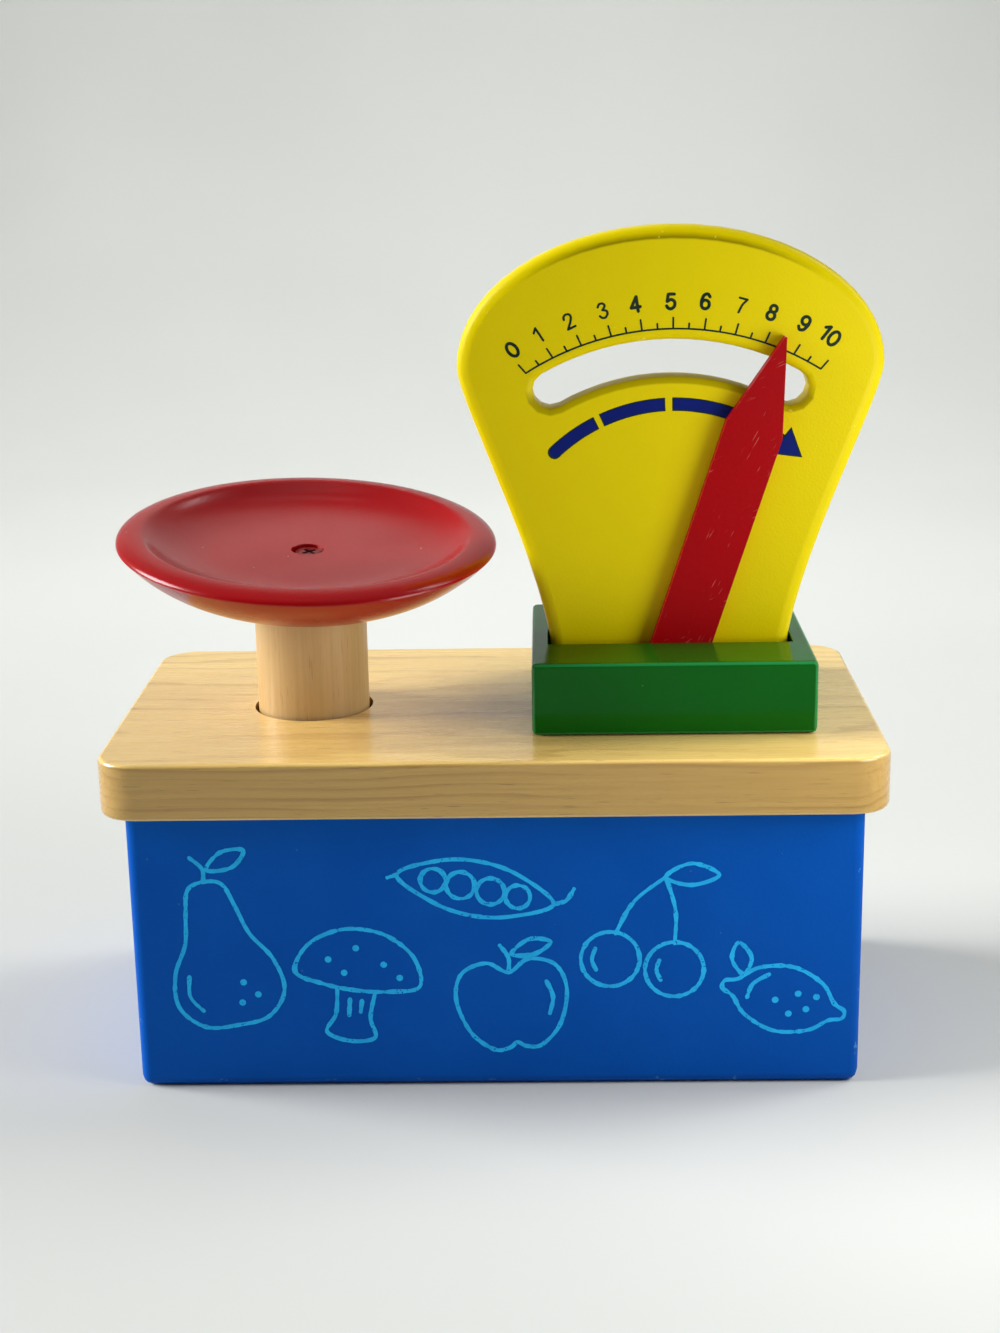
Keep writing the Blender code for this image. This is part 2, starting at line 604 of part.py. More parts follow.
def pan_profile():
    """The dish from the screw's countersink out over the rim to its crisp edge, down under it and up the bore."""
    floor = PAN_HEIGHT - PAN_DISH_DEPTH
    widest = PAN_HEIGHT - PAN_RIM_DROP
    rim = PAN_RADIUS - PAN_RIM_WIDTH
    bore = SCREW_DIAMETER / 2 + PIN_GAP
    head = SCREW_HEAD / 2 + PIN_GAP
    wall = rim - PAN_FLOOR_RADIUS
    floor_edge, floor_pull = (PAN_FLOOR_RADIUS, floor), (PAN_FLOOR_RADIUS + wall * 0.6, floor)
    points = [(head, floor), floor_edge]
    points += bend(floor_edge, floor_pull, (rim - wall / 5, PAN_HEIGHT), (rim, PAN_HEIGHT), 9)
    for i in range(1, 7):
        angle = math.pi / 2 * (1 - i / 6)
        points.append((rim + PAN_RIM_WIDTH * math.cos(angle), widest + PAN_RIM_DROP * math.sin(angle)))
    edge, foot = Vector((PAN_RADIUS, widest)), Vector((PAN_FOOT_RADIUS, 0))
    swell = Vector((edge.y - foot.y, foot.x - edge.x)).normalized() * PAN_SWELL
    points += bend(edge, edge.lerp(foot, 1 / 3) + swell, edge.lerp(foot, 2 / 3) + swell, foot, 7)
    recess = floor - SEAT_GAP
    points += [(bore, 0), (bore, recess - head + bore), (head, recess)]
    return points


def make_pan():
    """The post through the board, and the dish that sits askew on its top."""
    tip = Euler((PAN_TIP_FRONT, PAN_TIP_RIGHT, 0))
    seat = Vector((POST_X, WORKS_Y, PAN_SEAT_Z))
    axis = tip.to_matrix() @ Vector((0, 0, 1))
    pan = add("pan", turned_mesh("pan", pan_profile(), closed=True), seat, RED_PAINT, tip, PAN_AXIS)
    turn_round(pan, ROUND_STEPS)
    foot, top = (POST_X, WORKS_Y, ARM_TOP + SEAT_GAP), seat + Vector((0, 0, POST_DIAMETER / 2))
    post = rod("post", foot, top, POST_DIAMETER / 2, PLAIN_WOOD, ROUND_STEPS, PAN_AXIS)
    trim_size = Vector((2 * POST_DIAMETER, 2 * POST_DIAMETER, POST_DIAMETER))
    trim_middle = seat + axis * (trim_size.z / 2 - SEAT_GAP)
    cut(post, add("post_trim", box_mesh("post_trim", trim_size), trim_middle, rotation=tip))
    floor = PAN_HEIGHT - PAN_DISH_DEPTH
    wood_screw("pan_screw", seat + axis * floor, -axis, floor, [post], PAN_AXIS)
    return post


def make_drive(post):
    """The arm under the post and the yoke on its front edge, which pulls the crank pin up and down."""
    low, high = (YOKE_LEFT, YOKE_FRONT, ARM_BOTTOM), (YOKE_RIGHT, YOKE_BACK, YOKE_TOP)
    yoke = box("drive_yoke", low, high, INNER_WOOD, carrier=PAN_AXIS)
    slot = box(
        "crank_slot", (YOKE_SLOT_LEFT, YOKE_FRONT - PAST, YOKE_SLOT_Z - YOKE_SLOT_HALF),
        (YOKE_SLOT_RIGHT, YOKE_BACK + PAST, YOKE_SLOT_Z + YOKE_SLOT_HALF),
    )
    cut(yoke, slot)
    low, high = (POST_X - ARM_END, ARM_FRONT, ARM_BOTTOM), (YOKE_RIGHT, ARM_BACK, ARM_TOP)
    arm = box("drive_arm", low, high, INNER_WOOD, carrier=PAN_AXIS)
    wood_screw("arm_screw", (POST_X, WORKS_Y, ARM_BOTTOM), (0, 0, 1), ARM_THICK, [arm, post], PAN_AXIS)
    middle, quarter = (YOKE_LEFT + YOKE_RIGHT) / 2, (YOKE_RIGHT - YOKE_LEFT) / 4
    for number, x in enumerate((middle - quarter, middle + quarter), 1):
        place = (x, YOKE_FRONT, (ARM_TOP + ARM_BOTTOM) / 2)
        wood_screw(f"yoke_screw_{number}", place, (0, 1, 0), YOKE_THICK, [yoke, arm], PAN_AXIS, small=True)


def spring_points(radius, low, high):
    """A compression spring's wire: a helix whose first and last turns lie close to their neighbours."""
    close_turn = 1.5 * SPRING_WIRE
    climb = (high - low - 2 * close_turn) / (SPRING_TURNS - 2)
    points = []
    for i in range(SPRING_TURNS * SPRING_POINTS + 1):
        turn = i / SPRING_POINTS
        rise = close_turn * min(turn, 1) + climb * min(max(turn - 1, 0), SPRING_TURNS - 2)
        rise += close_turn * max(turn - SPRING_TURNS + 1, 0)
        angle = math.tau * turn
        points.append(Vector((radius * math.cos(angle), radius * math.sin(angle), low + rise)))
    return points


def make_spring(bottom):
    """The peg that stops the pan at full scale, and the spring round it that holds the arm up."""
    foot, top = (POST_X, WORKS_Y, BOTTOM_THICK + SEAT_GAP), (POST_X, WORKS_Y, PEG_TOP)
    peg = rod("spring_peg", foot, top, PEG_DIAMETER / 2, INNER_WOOD)
    wood_screw("peg_screw", (POST_X, WORKS_Y, 0), (0, 0, 1), BOTTOM_THICK, [bottom, peg])
    radius = PEG_DIAMETER / 2 + SPRING_CLEARANCE + SPRING_WIRE / 2
    margin = SEAT_GAP + SPRING_WIRE / 2
    points = spring_points(radius, BOTTOM_THICK + margin, ARM_BOTTOM - margin)
    apart = SPRING_POINTS // 2
    least = min((a - b).length for i, a in enumerate(points) for b in points[i + apart:])
    print(f"return_spring: least gap to itself {1000 * (least - SPRING_WIRE):.2f} mm")
    curve = bpy.data.curves.new("return_spring", "CURVE")
    curve.dimensions = "3D"
    curve.bevel_depth = SPRING_WIRE / 2
    curve.bevel_resolution = 1
    curve.use_fill_caps = True
    curve.materials.append(STEEL)
    wire = curve.splines.new("POLY")
    wire.points.add(len(points) - 1)
    for point, place in zip(wire.points, points):
        point.co = (*place, 1)
    spring = bpy.data.objects.new("return_spring", curve)
    spring.location = (POST_X, WORKS_Y, 0)
    PARTS.objects.link(spring)


walls = make_box()
board = make_board(walls)
block = make_block(board)
dial = make_dial()
pointer = make_pointer()
make_pivot(block, pointer, dial)
post = make_pan()
make_drive(post)
make_spring(walls["bottom_panel"])
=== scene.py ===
"""Looks of the toy kitchen scale: paint, varnished wood, printed dial and line drawings, on a pale floor.

Metres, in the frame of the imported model: +X to the right, +Y to the back, +Z up.
"""

import json
import math

import bmesh
import bpy
from mathutils import Matrix, Vector, noise


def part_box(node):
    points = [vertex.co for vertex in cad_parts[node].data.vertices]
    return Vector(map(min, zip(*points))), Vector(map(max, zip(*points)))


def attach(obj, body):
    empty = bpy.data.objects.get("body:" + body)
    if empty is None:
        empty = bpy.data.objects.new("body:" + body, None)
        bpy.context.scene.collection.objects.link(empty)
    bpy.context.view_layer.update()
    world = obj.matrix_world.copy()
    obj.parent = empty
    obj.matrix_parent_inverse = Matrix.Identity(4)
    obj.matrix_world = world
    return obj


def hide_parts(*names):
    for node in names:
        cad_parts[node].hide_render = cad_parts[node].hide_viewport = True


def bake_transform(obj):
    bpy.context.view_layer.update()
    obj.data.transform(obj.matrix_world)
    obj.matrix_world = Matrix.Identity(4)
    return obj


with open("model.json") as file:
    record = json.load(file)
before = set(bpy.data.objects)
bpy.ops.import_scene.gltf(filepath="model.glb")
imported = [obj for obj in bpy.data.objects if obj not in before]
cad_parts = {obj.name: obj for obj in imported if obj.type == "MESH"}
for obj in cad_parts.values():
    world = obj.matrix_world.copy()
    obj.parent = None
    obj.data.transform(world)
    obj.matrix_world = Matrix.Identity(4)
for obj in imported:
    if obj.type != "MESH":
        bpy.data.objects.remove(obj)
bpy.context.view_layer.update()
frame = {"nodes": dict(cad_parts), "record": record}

# Places taken from the frame
DIAL_LOW, DIAL_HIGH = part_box("dial_plate")
DIAL_X = (DIAL_LOW.x + DIAL_HIGH.x) / 2
DIAL_FRONT = DIAL_LOW.y
BLOCK_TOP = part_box("dial_block")[1].z
WALL_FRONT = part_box("front_panel")[0].y
PAN_UP = next(Vector(mount["axis"]) for mount in frame["record"]["mounts"] if mount["name"] == "pan_floor")
UP = Vector((0, 0, 1))
DOWN = Vector((0, 0, -1))

# Meshes and their edges
WELD = 0.000002  # points closer than this are joined
TOP_BAND = 10 * WELD  # points this close to the highest one lie in its plane
FLAT_ANGLE = math.radians(0.4)  # faces that bend by less than this become one
SHARP_ANGLE = math.radians(55)  # edges that bend by more than this are eased
SMOOTH_ANGLE = math.radians(50)  # edges that bend by more than this are shaded as sharp
DISH_SMOOTH_ANGLE = math.radians(40)
NARROW = 0.004  # a face narrower than this belongs to a rounded edge
EASE = 0.0003
POINTER_EASE = 0.0004
BLOCK_EASE = 0.0011
BLOCK_EASE_STEPS = 4

# Step along the top of the dial's face, and the sill of the dial's window, both darkened with painted shade
FRONT_FACING = -0.999  # a face looks to the front where its normal's Y is below this
STEP_WIDTH, STEP_DEPTH = 0.0005, 0.0004
STEP_FADE, STEP_FULL = 0.014, 0.005  # below the dial's top, where the step ends and where it is full
WINDOW_TOP = 0.190  # the window lies below this height
WINDOW_HALF = 0.040  # and within this far of the dial's middle
SILL_SLOPE = 0.06  # a point belongs to the sill where it faces up by more than this
SILL_SHADE = 0.65  # how far the paint there takes the painted shade colour

# Printed scale: a baseline arc with ticks outwards, and figures on a wider arc
INK_LIFT = 0.00004  # prints lie this far in front of the paint
STROKE_LIFT = INK_LIFT / 8  # each line of a print lies this far in front of the one before
CROSSING_LIFT = INK_LIFT / 4  # ticks and the arrow's head lie this far in front of what they cross
SCALE_CENTRE = Vector((DIAL_X + 0.0006, BLOCK_TOP + 0.0102))
SCALE_RADIUS = 0.0713
SCALE_STEP = math.radians(6.39)  # one unit along the baseline
SCALE_UNITS = 10
BASELINE_STEPS = 60
TICK_LEAN = 1.28  # ticks and figures lean out more than the baseline turns
TICK_LENGTH = 0.0028
HALF_TICK_LENGTH = 0.0014
TICK_WIDTH = 0.00048
FIGURE_ANGLES = (-31.7, -26.1, -19.9, -13.3, -7.1, -0.5, 6.0, 12.7, 18.5, 24.8, 30.0)  # degrees, uneven
FIGURE_RADIUS = 0.0782
FIGURE_CREEP = 0.0003  # the figures after 5 climb by this much each
FIGURE_HEIGHT = 0.0040
BOLD_STROKE, THIN_STROKE = 0.00082, 0.00058
THIN_FIGURES = "1237"

# Printed arrow: dashes on an arc, then a head
ARROW_CENTRE = Vector((DIAL_X + 0.0006, BLOCK_TOP + 0.0176))
ARROW_RADIUS = 0.0446
ARROW_WIDTH = 0.0035
ARROW_OUTLINE = 0.0003
ARROW_DASHES = ((-43.3, -26.2), (-24.3, -2.5), (-0.2, 21.6), (23.8, 38.6))  # degrees from upright
ARROW_HEAD_LENGTH = 0.0073
ARROW_HEAD_HALF = 0.0044
HEAD_TRIM_AHEAD, HEAD_TRIM_ASIDE = 2.2, 1.7  # how many outlines the head's blue falls short by
DASH_STEPS = 12
DASH_END_STEPS = 8

# Turned dish, from its floor: the rim's crest, then the crisp edge, which is the widest circle
DISH_DEPTH = 0.0053
DISH_FLOOR_RADIUS = 0.024  # the floor is flat this far, and then turns up slowly
DISH_WALL_PULL = 0.0405
DISH_CREST_PULL = 0.0028
DISH_HOLE_RADIUS = 0.00425
DISH_HOLE_DEPTH = 0.0022
DISH_HOLE_EASE = 0.0001
RIM_RADIUS = 0.0440
EDGE_RADIUS = 0.0502
EDGE_DROP = 0.0024
FOOT_RADIUS = 0.0303
FOOT_DROP = 0.0155
UNDERSIDE_SWELL = 0.0021
FLOOR_STEPS, WALL_STEPS, RIM_STEPS, UNDERSIDE_STEPS = 10, 20, 14, 20
DISH_TURNS = 128

# Screws, with the cross in a head as shares of the head's radius
SCREW_SUNK = 0.0003  # the node of the dish's screw lies this far below the floor
HEAD_SINK = 0.0004  # its painted head lies this much deeper
CROSS_REACH, CROSS_HALF_WIDTH, CROSS_DEPTH = 0.68, 0.13, 0.6
CROSS_ABOVE = 0.3  # the cutting bar stands out of the head by this share of the depth
CROSS_TAPER = 0.45  # the bar's foot is this share of its length
SHADE_REACH, SHADE_DEPTH = 0.7, 0.65  # faces within these lie in the cross and get its painted shade

# Coiled spring under the pan's arm
SPRING_RADIUS = 0.0079
SPRING_WIRE = 0.0014
SPRING_TURNS = 9
SPRING_POINTS = 28  # per turn
CLOSE_TURN = 1.5 * SPRING_WIRE  # the end turns climb this much each
WIRE_SIDES = 10

# Line drawings on the front
MM = 0.001
LINE_WIDTH = 0.0011
LINE_ROUGH = 0.5  # how much the width of a drawn line varies
WOBBLE_RUN, WOBBLE_START = 700.0, 900.0  # scales of that wobble along a line and from line to line
DOT_RADIUS = 0.0009
DOT_SIDES = 14
RING_POINTS = 10
CURVE_STEPS = 8
ROUND_END_STEPS = 6

# Sockets of a Mix node for colours
MIX_AMOUNT, MIX_FIRST, MIX_SECOND = 0, 6, 7
MIX_RESULT = 2


def add_node(tree, kind, inputs=None, **settings):
    """A node with its settings; an input is a value or the socket that feeds it."""
    made = tree.nodes.new(kind)
    for key, value in settings.items():
        setattr(made, key, value)
    for key, value in (inputs or {}).items():
        if isinstance(value, bpy.types.NodeSocket):
            tree.links.new(value, made.inputs[key])
        else:
            made.inputs[key].default_value = value
    return made


def math_node(tree, operation, first, second=0.0):
    return add_node(tree, "ShaderNodeMath", {0: first, 1: second}, operation=operation).outputs[0]


def plus(tree, first, second):
    return math_node(tree, "ADD", first, second)


def times(tree, first, second):
    return math_node(tree, "MULTIPLY", first, second)


def stretched(tree, vector, scale):
    return add_node(tree, "ShaderNodeMapping", {"Vector": vector, "Scale": scale}).outputs[0]


def noise_value(tree, vector, scale, detail=2.0, roughness=0.5):
    inputs = {"Vector": vector, "Scale": scale, "Detail": detail, "Roughness": roughness}
    return add_node(tree, "ShaderNodeTexNoise", inputs).outputs["Fac"]


def streaks(tree, vector, along, across, detail=2.0, roughness=0.5):
    """Noise with one scale along X and another across it."""
    return noise_value(tree, stretched(tree, vector, (along, across, across)), 1.0, detail, roughness)


def remap(tree, value, low, high, out_low=0.0, out_high=1.0):
    inputs = {"Value": value, "From Min": low, "From Max": high, "To Min": out_low, "To Max": out_high}
    return add_node(tree, "ShaderNodeMapRange", inputs, interpolation_type="SMOOTHSTEP").outputs[0]


def opaque(colour):
    return colour if isinstance(colour, bpy.types.NodeSocket) else (*colour, 1.0)


def blended(tree, amount, first, second, mode="MIX"):
    """A mix of two colours, each given as red, green and blue or as the socket that feeds it."""
    inputs = {MIX_AMOUNT: amount, MIX_FIRST: opaque(first), MIX_SECOND: opaque(second)}
    return add_node(tree, "ShaderNodeMix", inputs, data_type="RGBA", blend_type=mode).outputs[MIX_RESULT]


def marked(tree, attribute):
    """A value that the meshes carry at their points."""
    return add_node(tree, "ShaderNodeAttribute", attribute_name=attribute).outputs["Fac"]


def new_group(name, values, outputs):
    """A shader group that takes a place and named values, and puts out named values."""
    group = bpy.data.node_groups.new(name, "ShaderNodeTree")
    group.interface.new_socket("Vector", in_out="INPUT", socket_type="NodeSocketVector")
    for label, default in values.items():
        socket = group.interface.new_socket(label, in_out="INPUT", socket_type="NodeSocketFloat")
        socket.default_value = default
    for label in outputs:
        group.interface.new_socket(label, in_out="OUTPUT", socket_type="NodeSocketFloat")
    start = group.nodes.new("NodeGroupInput").outputs
    end = group.nodes.new("NodeGroupOutput").inputs
    return group, start, end


def use_group(tree, group, inputs):
    return add_node(tree, "ShaderNodeGroup", inputs, node_tree=group).outputs


def wood_grain_group():
    """Growth rings round X, fine fibre and pores along X."""
    values = {"Ring Width": 0.0025, "Wander": 0.004}
    group, start, end = new_group("wood_grain", values, ["Rings", "Fibre", "Pores"])
    place = start["Vector"]
    parts = add_node(group, "ShaderNodeSeparateXYZ", {0: place}).outputs
    squares = [math_node(group, "POWER", part, 2) for part in (parts[1], parts[2])]
    radius = math_node(group, "SQRT", plus(group, *squares))
    slow = math_node(group, "SUBTRACT", streaks(group, place, along=7, across=26), 0.5)
    quick = math_node(group, "SUBTRACT", streaks(group, place, along=30, across=240), 0.5)
    sway = plus(group, slow, times(group, quick, 0.12))
    shifted = plus(group, radius, times(group, sway, start["Wander"]))
    cycle = math_node(group, "FRACT", math_node(group, "DIVIDE", shifted, start["Ring Width"]))
    late_wood = remap(group, cycle, 0.5, 0.92)
    early_wood = remap(group, cycle, 0.94, 1.0, out_low=1.0, out_high=0.0)
    fading = remap(group, streaks(group, place, along=12, across=160), 0.35, 0.65, out_low=0.15)
    lines = times(group, times(group, late_wood, early_wood), fading)
    group.links.new(lines, end["Rings"])
    fibre = streaks(group, place, along=26, across=1300, detail=4.0, roughness=0.65)
    group.links.new(remap(group, fibre, 0.3, 0.7), end["Fibre"])
    pores = streaks(group, place, along=130, across=2600, detail=1.0)
    group.links.new(remap(group, pores, 0.66, 0.76), end["Pores"])
    return group


def paint_skin_group():
    """Uneven brushed paint: soft mottle, fine grain that shows through, and specks of dust under it."""
    group, start, end = new_group("paint_skin", {"Grain Scale": 900.0}, ["Mottle", "Grain", "Specks"])
    place = start["Vector"]
    mottle = noise_value(group, place, 38.0, detail=4.0, roughness=0.55)
    group.links.new(remap(group, mottle, 0.3, 0.7), end["Mottle"])
    grain = noise_value(group, place, start["Grain Scale"], detail=3.0, roughness=0.6)
    group.links.new(remap(group, grain, 0.25, 0.75), end["Grain"])
    cells = add_node(group, "ShaderNodeTexVoronoi", {"Vector": place, "Scale": 260.0}).outputs
    lot = add_node(group, "ShaderNodeSeparateColor", {0: cells["Color"]}).outputs[0]
    chosen = math_node(group, "GREATER_THAN", lot, 0.93)
    near = remap(group, cells["Distance"], 0.05, 0.09, out_low=1.0, out_high=0.0)
    group.links.new(times(group, near, chosen), end["Specks"])
    return group


def rubbed_edge_group():
    """Where paint has rubbed thin: patches along the edges that the meshes mark; with full cover, the whole
    of every edge, which on the green block is a painted highlight.
    """
    group, start, end = new_group("rubbed_edge_and_sheen", {"Patch Scale": 220.0, "Cover": 0.5}, ["Rub"])
    patches = noise_value(group, start["Vector"], start["Patch Scale"], detail=4.0, roughness=0.65)
    level = math_node(group, "SUBTRACT", 1.0, start["Cover"])
    high = plus(group, level, 0.06)
    spots = add_node(group, "ShaderNodeMapRange", {"Value": patches, "From Min": level, "From Max": high})
    along_edges = remap(group, marked(group, "edge"), 0.25, 0.75)
    group.links.new(times(group, spots.outputs[0], along_edges), end["Rub"])
    return group


def scratch_group():
    """Short fine scratches in the XZ plane, in patches, running two ways."""
    group, start, end = new_group("scratches", {}, ["Scratch"])
    ways = []
    for turn, shift in ((62, 0.0), (24, 0.3)):
        inputs = {"Vector": start["Vector"], "Location": (shift, 0, shift)}
        inputs["Rotation"] = (0, math.radians(turn), 0)
        laid = add_node(group, "ShaderNodeMapping", inputs).outputs[0]
        lines = noise_value(group, stretched(group, laid, (160, 300, 2600)), 1.0, detail=1.0)
        patches = noise_value(group, laid, 110.0, detail=1.0)
        ways.append(times(group, remap(group, lines, 0.70, 0.76), remap(group, patches, 0.5, 0.62)))
    group.links.new(math_node(group, "MAXIMUM", *ways), end["Scratch"])
    return group


WOOD_GRAIN = wood_grain_group()
PAINT_SKIN = paint_skin_group()
RUBBED_EDGE_AND_SHEEN = rubbed_edge_group()
SCRATCHES = scratch_group()


# How paint lies on wood
MOTTLE_SHARE, GRAIN_SHARE = 0.6, 0.35  # how far thin paint shows in the mottle and in the grain
DUST = (0.8, 0.78, 0.72)
PAINT_SMOOTHEST, PAINT_ROUGHEST = 0.85, 1.2  # the roughness varies between these shares of its value
RUB_DULLS = 0.2  # rubbed paint is rougher by this
SPECK_HEIGHT = 2.0  # against the grain's
PAINT_BUMP = 0.5

# How wood looks under its finish
PORE_SHARE = 0.55
WOOD_SMOOTHEST, WOOD_ROUGHEST = 0.85, 1.15
UPRIGHT, LEVEL = 0.1, 0.8  # a face is a side, darkened with painted shade, where its normal's Z is below the first, a top above the second
PORE_HEIGHT, FIBRE_HEIGHT = -1.0, -0.4
WOOD_BUMP, WOOD_BUMP_HEIGHT = 0.4, 0.00005
ALONG_X, ALONG_Z = (0, 0, 0), (0, math.radians(90), 0)  # ways the grain runs

# How screw metal looks
METAL_DULLS = 0.2  # dull patches are rougher by this
METAL_BUMP, METAL_BUMP_HEIGHT = 0.3, 0.00003


def new_material(name, **sockets):
    """A material with its Principled shader's plain values; returns it with its tree, shader and place."""
    made = bpy.data.materials.new(name)
    made.use_nodes = True
    tree = made.node_tree
    shader = tree.nodes["Principled BSDF"]
    for label, value in sockets.items():
        shader.inputs[label.replace("_", " ")].default_value = value
    place = add_node(tree, "ShaderNodeTexCoord").outputs["Object"]
    return made, tree, shader, place


def bumped(tree, shader, height, strength, distance):
    inputs = {"Height": height, "Strength": strength, "Distance": distance}
    tree.links.new(add_node(tree, "ShaderNodeBump", inputs).outputs[0], shader.inputs["Normal"])


def painted(
    name, full, thin, rubbed_and_sheen, roughness, grain=900.0, cover=0.35, dust=0.25, peel=0.00004, scratched=0.0,
    painted_shade=None, **sockets
):
    """Paint over wood: full and thin colours, and what shows where an edge is rubbed or a face scratched; on
    the green block that edge colour covers every edge as a painted highlight.

    A painted shade colour darkens the points that the mesh marks for painted shade.
    """
    made, tree, shader, place = new_material(name, **sockets)
    skin = use_group(tree, PAINT_SKIN, {"Vector": place, "Grain Scale": grain})
    rub_and_sheen_mask = use_group(tree, RUBBED_EDGE_AND_SHEEN, {"Vector": place, "Cover": cover})["Rub"]
    body = blended(tree, times(tree, skin["Mottle"], MOTTLE_SHARE), full, thin)
    body = blended(tree, times(tree, skin["Grain"], GRAIN_SHARE), body, thin)
    body = blended(tree, times(tree, skin["Specks"], dust), body, DUST)
    # painted shade at the dial step's foot and on the window's sill
    if painted_shade:
        body = blended(tree, marked(tree, "painted_shade"), body, painted_shade)
    # rubbed paint along edges, and a painted highlight where the whole edge is covered
    body = blended(tree, rub_and_sheen_mask, body, rubbed_and_sheen)
    if scratched:
        scratch = use_group(tree, SCRATCHES, {"Vector": place})["Scratch"]
        body = blended(tree, times(tree, scratch, scratched), body, rubbed_and_sheen)
    tree.links.new(body, shader.inputs["Base Color"])
    smoothest, roughest = roughness * PAINT_SMOOTHEST, roughness * PAINT_ROUGHEST
    uneven = remap(tree, skin["Mottle"], 0.0, 1.0, smoothest, roughest)
    tree.links.new(plus(tree, uneven, times(tree, rub_and_sheen_mask, RUB_DULLS)), shader.inputs["Roughness"])
    lump = plus(tree, skin["Grain"], times(tree, skin["Specks"], SPECK_HEIGHT))
    bumped(tree, shader, lump, PAINT_BUMP, peel)
    return made


def wooden(
    name, light, dark, pore, turn, pith, ring_width, wander, roughness, rings=0.5, fibre=0.3, sides=None,
    **sockets
):
    """Clear-finished wood; turn lays the grain, which runs along the group's X, and pith is its centre.

    Faces that stand upright are darkened with the sides colour: painted shade, since a board's edges get
    less light than its top.
    """
    made, tree, shader, place = new_material(name, **sockets)
    inputs = {"Vector": place, "Location": pith, "Rotation": turn}
    laid = add_node(tree, "ShaderNodeMapping", inputs).outputs[0]
    grain = use_group(tree, WOOD_GRAIN, {"Vector": laid, "Ring Width": ring_width, "Wander": wander})
    body = blended(tree, times(tree, grain["Rings"], rings), light, dark)
    body = blended(tree, times(tree, grain["Fibre"], fibre), body, dark)
    body = blended(tree, times(tree, grain["Pores"], PORE_SHARE), body, pore)
    # painted shade: upright faces darker than the top
    if sides:
        facing = add_node(tree, "ShaderNodeNewGeometry").outputs["Normal"]
        parts = add_node(tree, "ShaderNodeSeparateXYZ", {0: facing}).outputs
        upward = math_node(tree, "ABSOLUTE", parts[2])
        side = remap(tree, upward, UPRIGHT, LEVEL, out_low=1.0, out_high=0.0)
        body = blended(tree, side, body, sides, "MULTIPLY")
    tree.links.new(body, shader.inputs["Base Color"])
    smoothest, roughest = roughness * WOOD_SMOOTHEST, roughness * WOOD_ROUGHEST
    uneven = remap(tree, grain["Fibre"], 0.0, 1.0, smoothest, roughest)
    tree.links.new(uneven, shader.inputs["Roughness"])
    hollow = times(tree, grain["Pores"], PORE_HEIGHT)
    hollow = plus(tree, hollow, times(tree, grain["Fibre"], FIBRE_HEIGHT))
    bumped(tree, shader, hollow, WOOD_BUMP, WOOD_BUMP_HEIGHT)
    return made


def printed(name, ink, under, gaps, thin, roughness):
    """Screen print: ink that is thin in places, with small gaps where the paint under it shows."""
    made, tree, shader, place = new_material(name, Roughness=roughness, Specular_IOR_Level=0.1)
    speckle = noise_value(tree, place, 1500.0, roughness=0.6)
    holes = remap(tree, speckle, 0.5 + gaps, 0.56 + gaps)
    soft = remap(tree, noise_value(tree, place, 260.0), 0.3, 0.7, out_high=thin)
    body = blended(tree, soft, ink, under)
    tree.links.new(blended(tree, holes, body, under), shader.inputs["Base Color"])
    return made


def screw_metal(name, bright, dull, roughness):
    """Screw metal with fine turning marks and dull patches."""
    made, tree, shader, place = new_material(name, Metallic=1.0)
    patches = remap(tree, noise_value(tree, place, 320.0, detail=4.0, roughness=0.6), 0.35, 0.65)
    tree.links.new(blended(tree, patches, bright, dull), shader.inputs["Base Color"])
    uneven = remap(tree, patches, 0.0, 1.0, roughness, roughness + METAL_DULLS)
    tree.links.new(uneven, shader.inputs["Roughness"])
    bumped(tree, shader, noise_value(tree, place, 2400.0), METAL_BUMP, METAL_BUMP_HEIGHT)
    return made


def backdrop_paper():
    """Pale paper with soft, hardly seen patches."""
    made, tree, shader, place = new_material("pale_backdrop", Roughness=0.9)
    soft = remap(tree, noise_value(tree, place, 3.0), 0.3, 0.7)
    body = blended(tree, soft, (0.61, 0.62, 0.59), (0.58, 0.59, 0.565))
    tree.links.new(body, shader.inputs["Base Color"])
    return made


# Finishes of the pieces
BLUE = (0.0, 0.088, 0.45)
YELLOW = (0.685, 0.55, 0.0)

BLUE_PAINT = painted(
    "blue_wall_paint", full=BLUE, thin=(0.0, 0.074, 0.40), rubbed_and_sheen=(0.10, 0.26, 0.56),
    roughness=0.42, grain=1500.0, cover=0.36, dust=0.05, Specular_IOR_Level=0.06,
)
# the yellow's darkest colour is painted shade, at the step's foot and on the window's sill
YELLOW_PAINT = painted(
    "yellow_dial_paint", full=YELLOW, thin=(0.65, 0.52, 0.0), rubbed_and_sheen=(0.80, 0.70, 0.07),
    painted_shade=(0.26, 0.20, 0.0), roughness=0.36, grain=1500.0, cover=0.34, dust=0.06, peel=0.00007,
    Specular_IOR_Level=0.08,
)
# its rubbed colour covers every rounded edge: a painted highlight along the block's edges
GREEN_PAINT = painted(
    "green_block_gloss", full=(0.0, 0.098, 0.004), thin=(0.0, 0.082, 0.003),
    rubbed_and_sheen=(0.015, 0.19, 0.045), roughness=0.12, cover=1.0, dust=0.7, peel=0.00002,
    Specular_IOR_Level=0.14,
)
RED_GLOSS = painted(
    "red_pan_gloss", full=(0.34, 0.001, 0.003), thin=(0.285, 0.001, 0.002),
    rubbed_and_sheen=(0.5, 0.05, 0.05), roughness=0.22, cover=0.0, dust=0.25, peel=0.00003,
    Specular_IOR_Level=0.3,
)
RED_PAINT = painted(
    "red_pointer_paint", full=(0.33, 0.0, 0.002), thin=(0.28, 0.0, 0.002),
    rubbed_and_sheen=(0.72, 0.24, 0.22), roughness=0.42, cover=0.6, dust=0.1, scratched=0.4,
    Specular_IOR_Level=0.08,
)
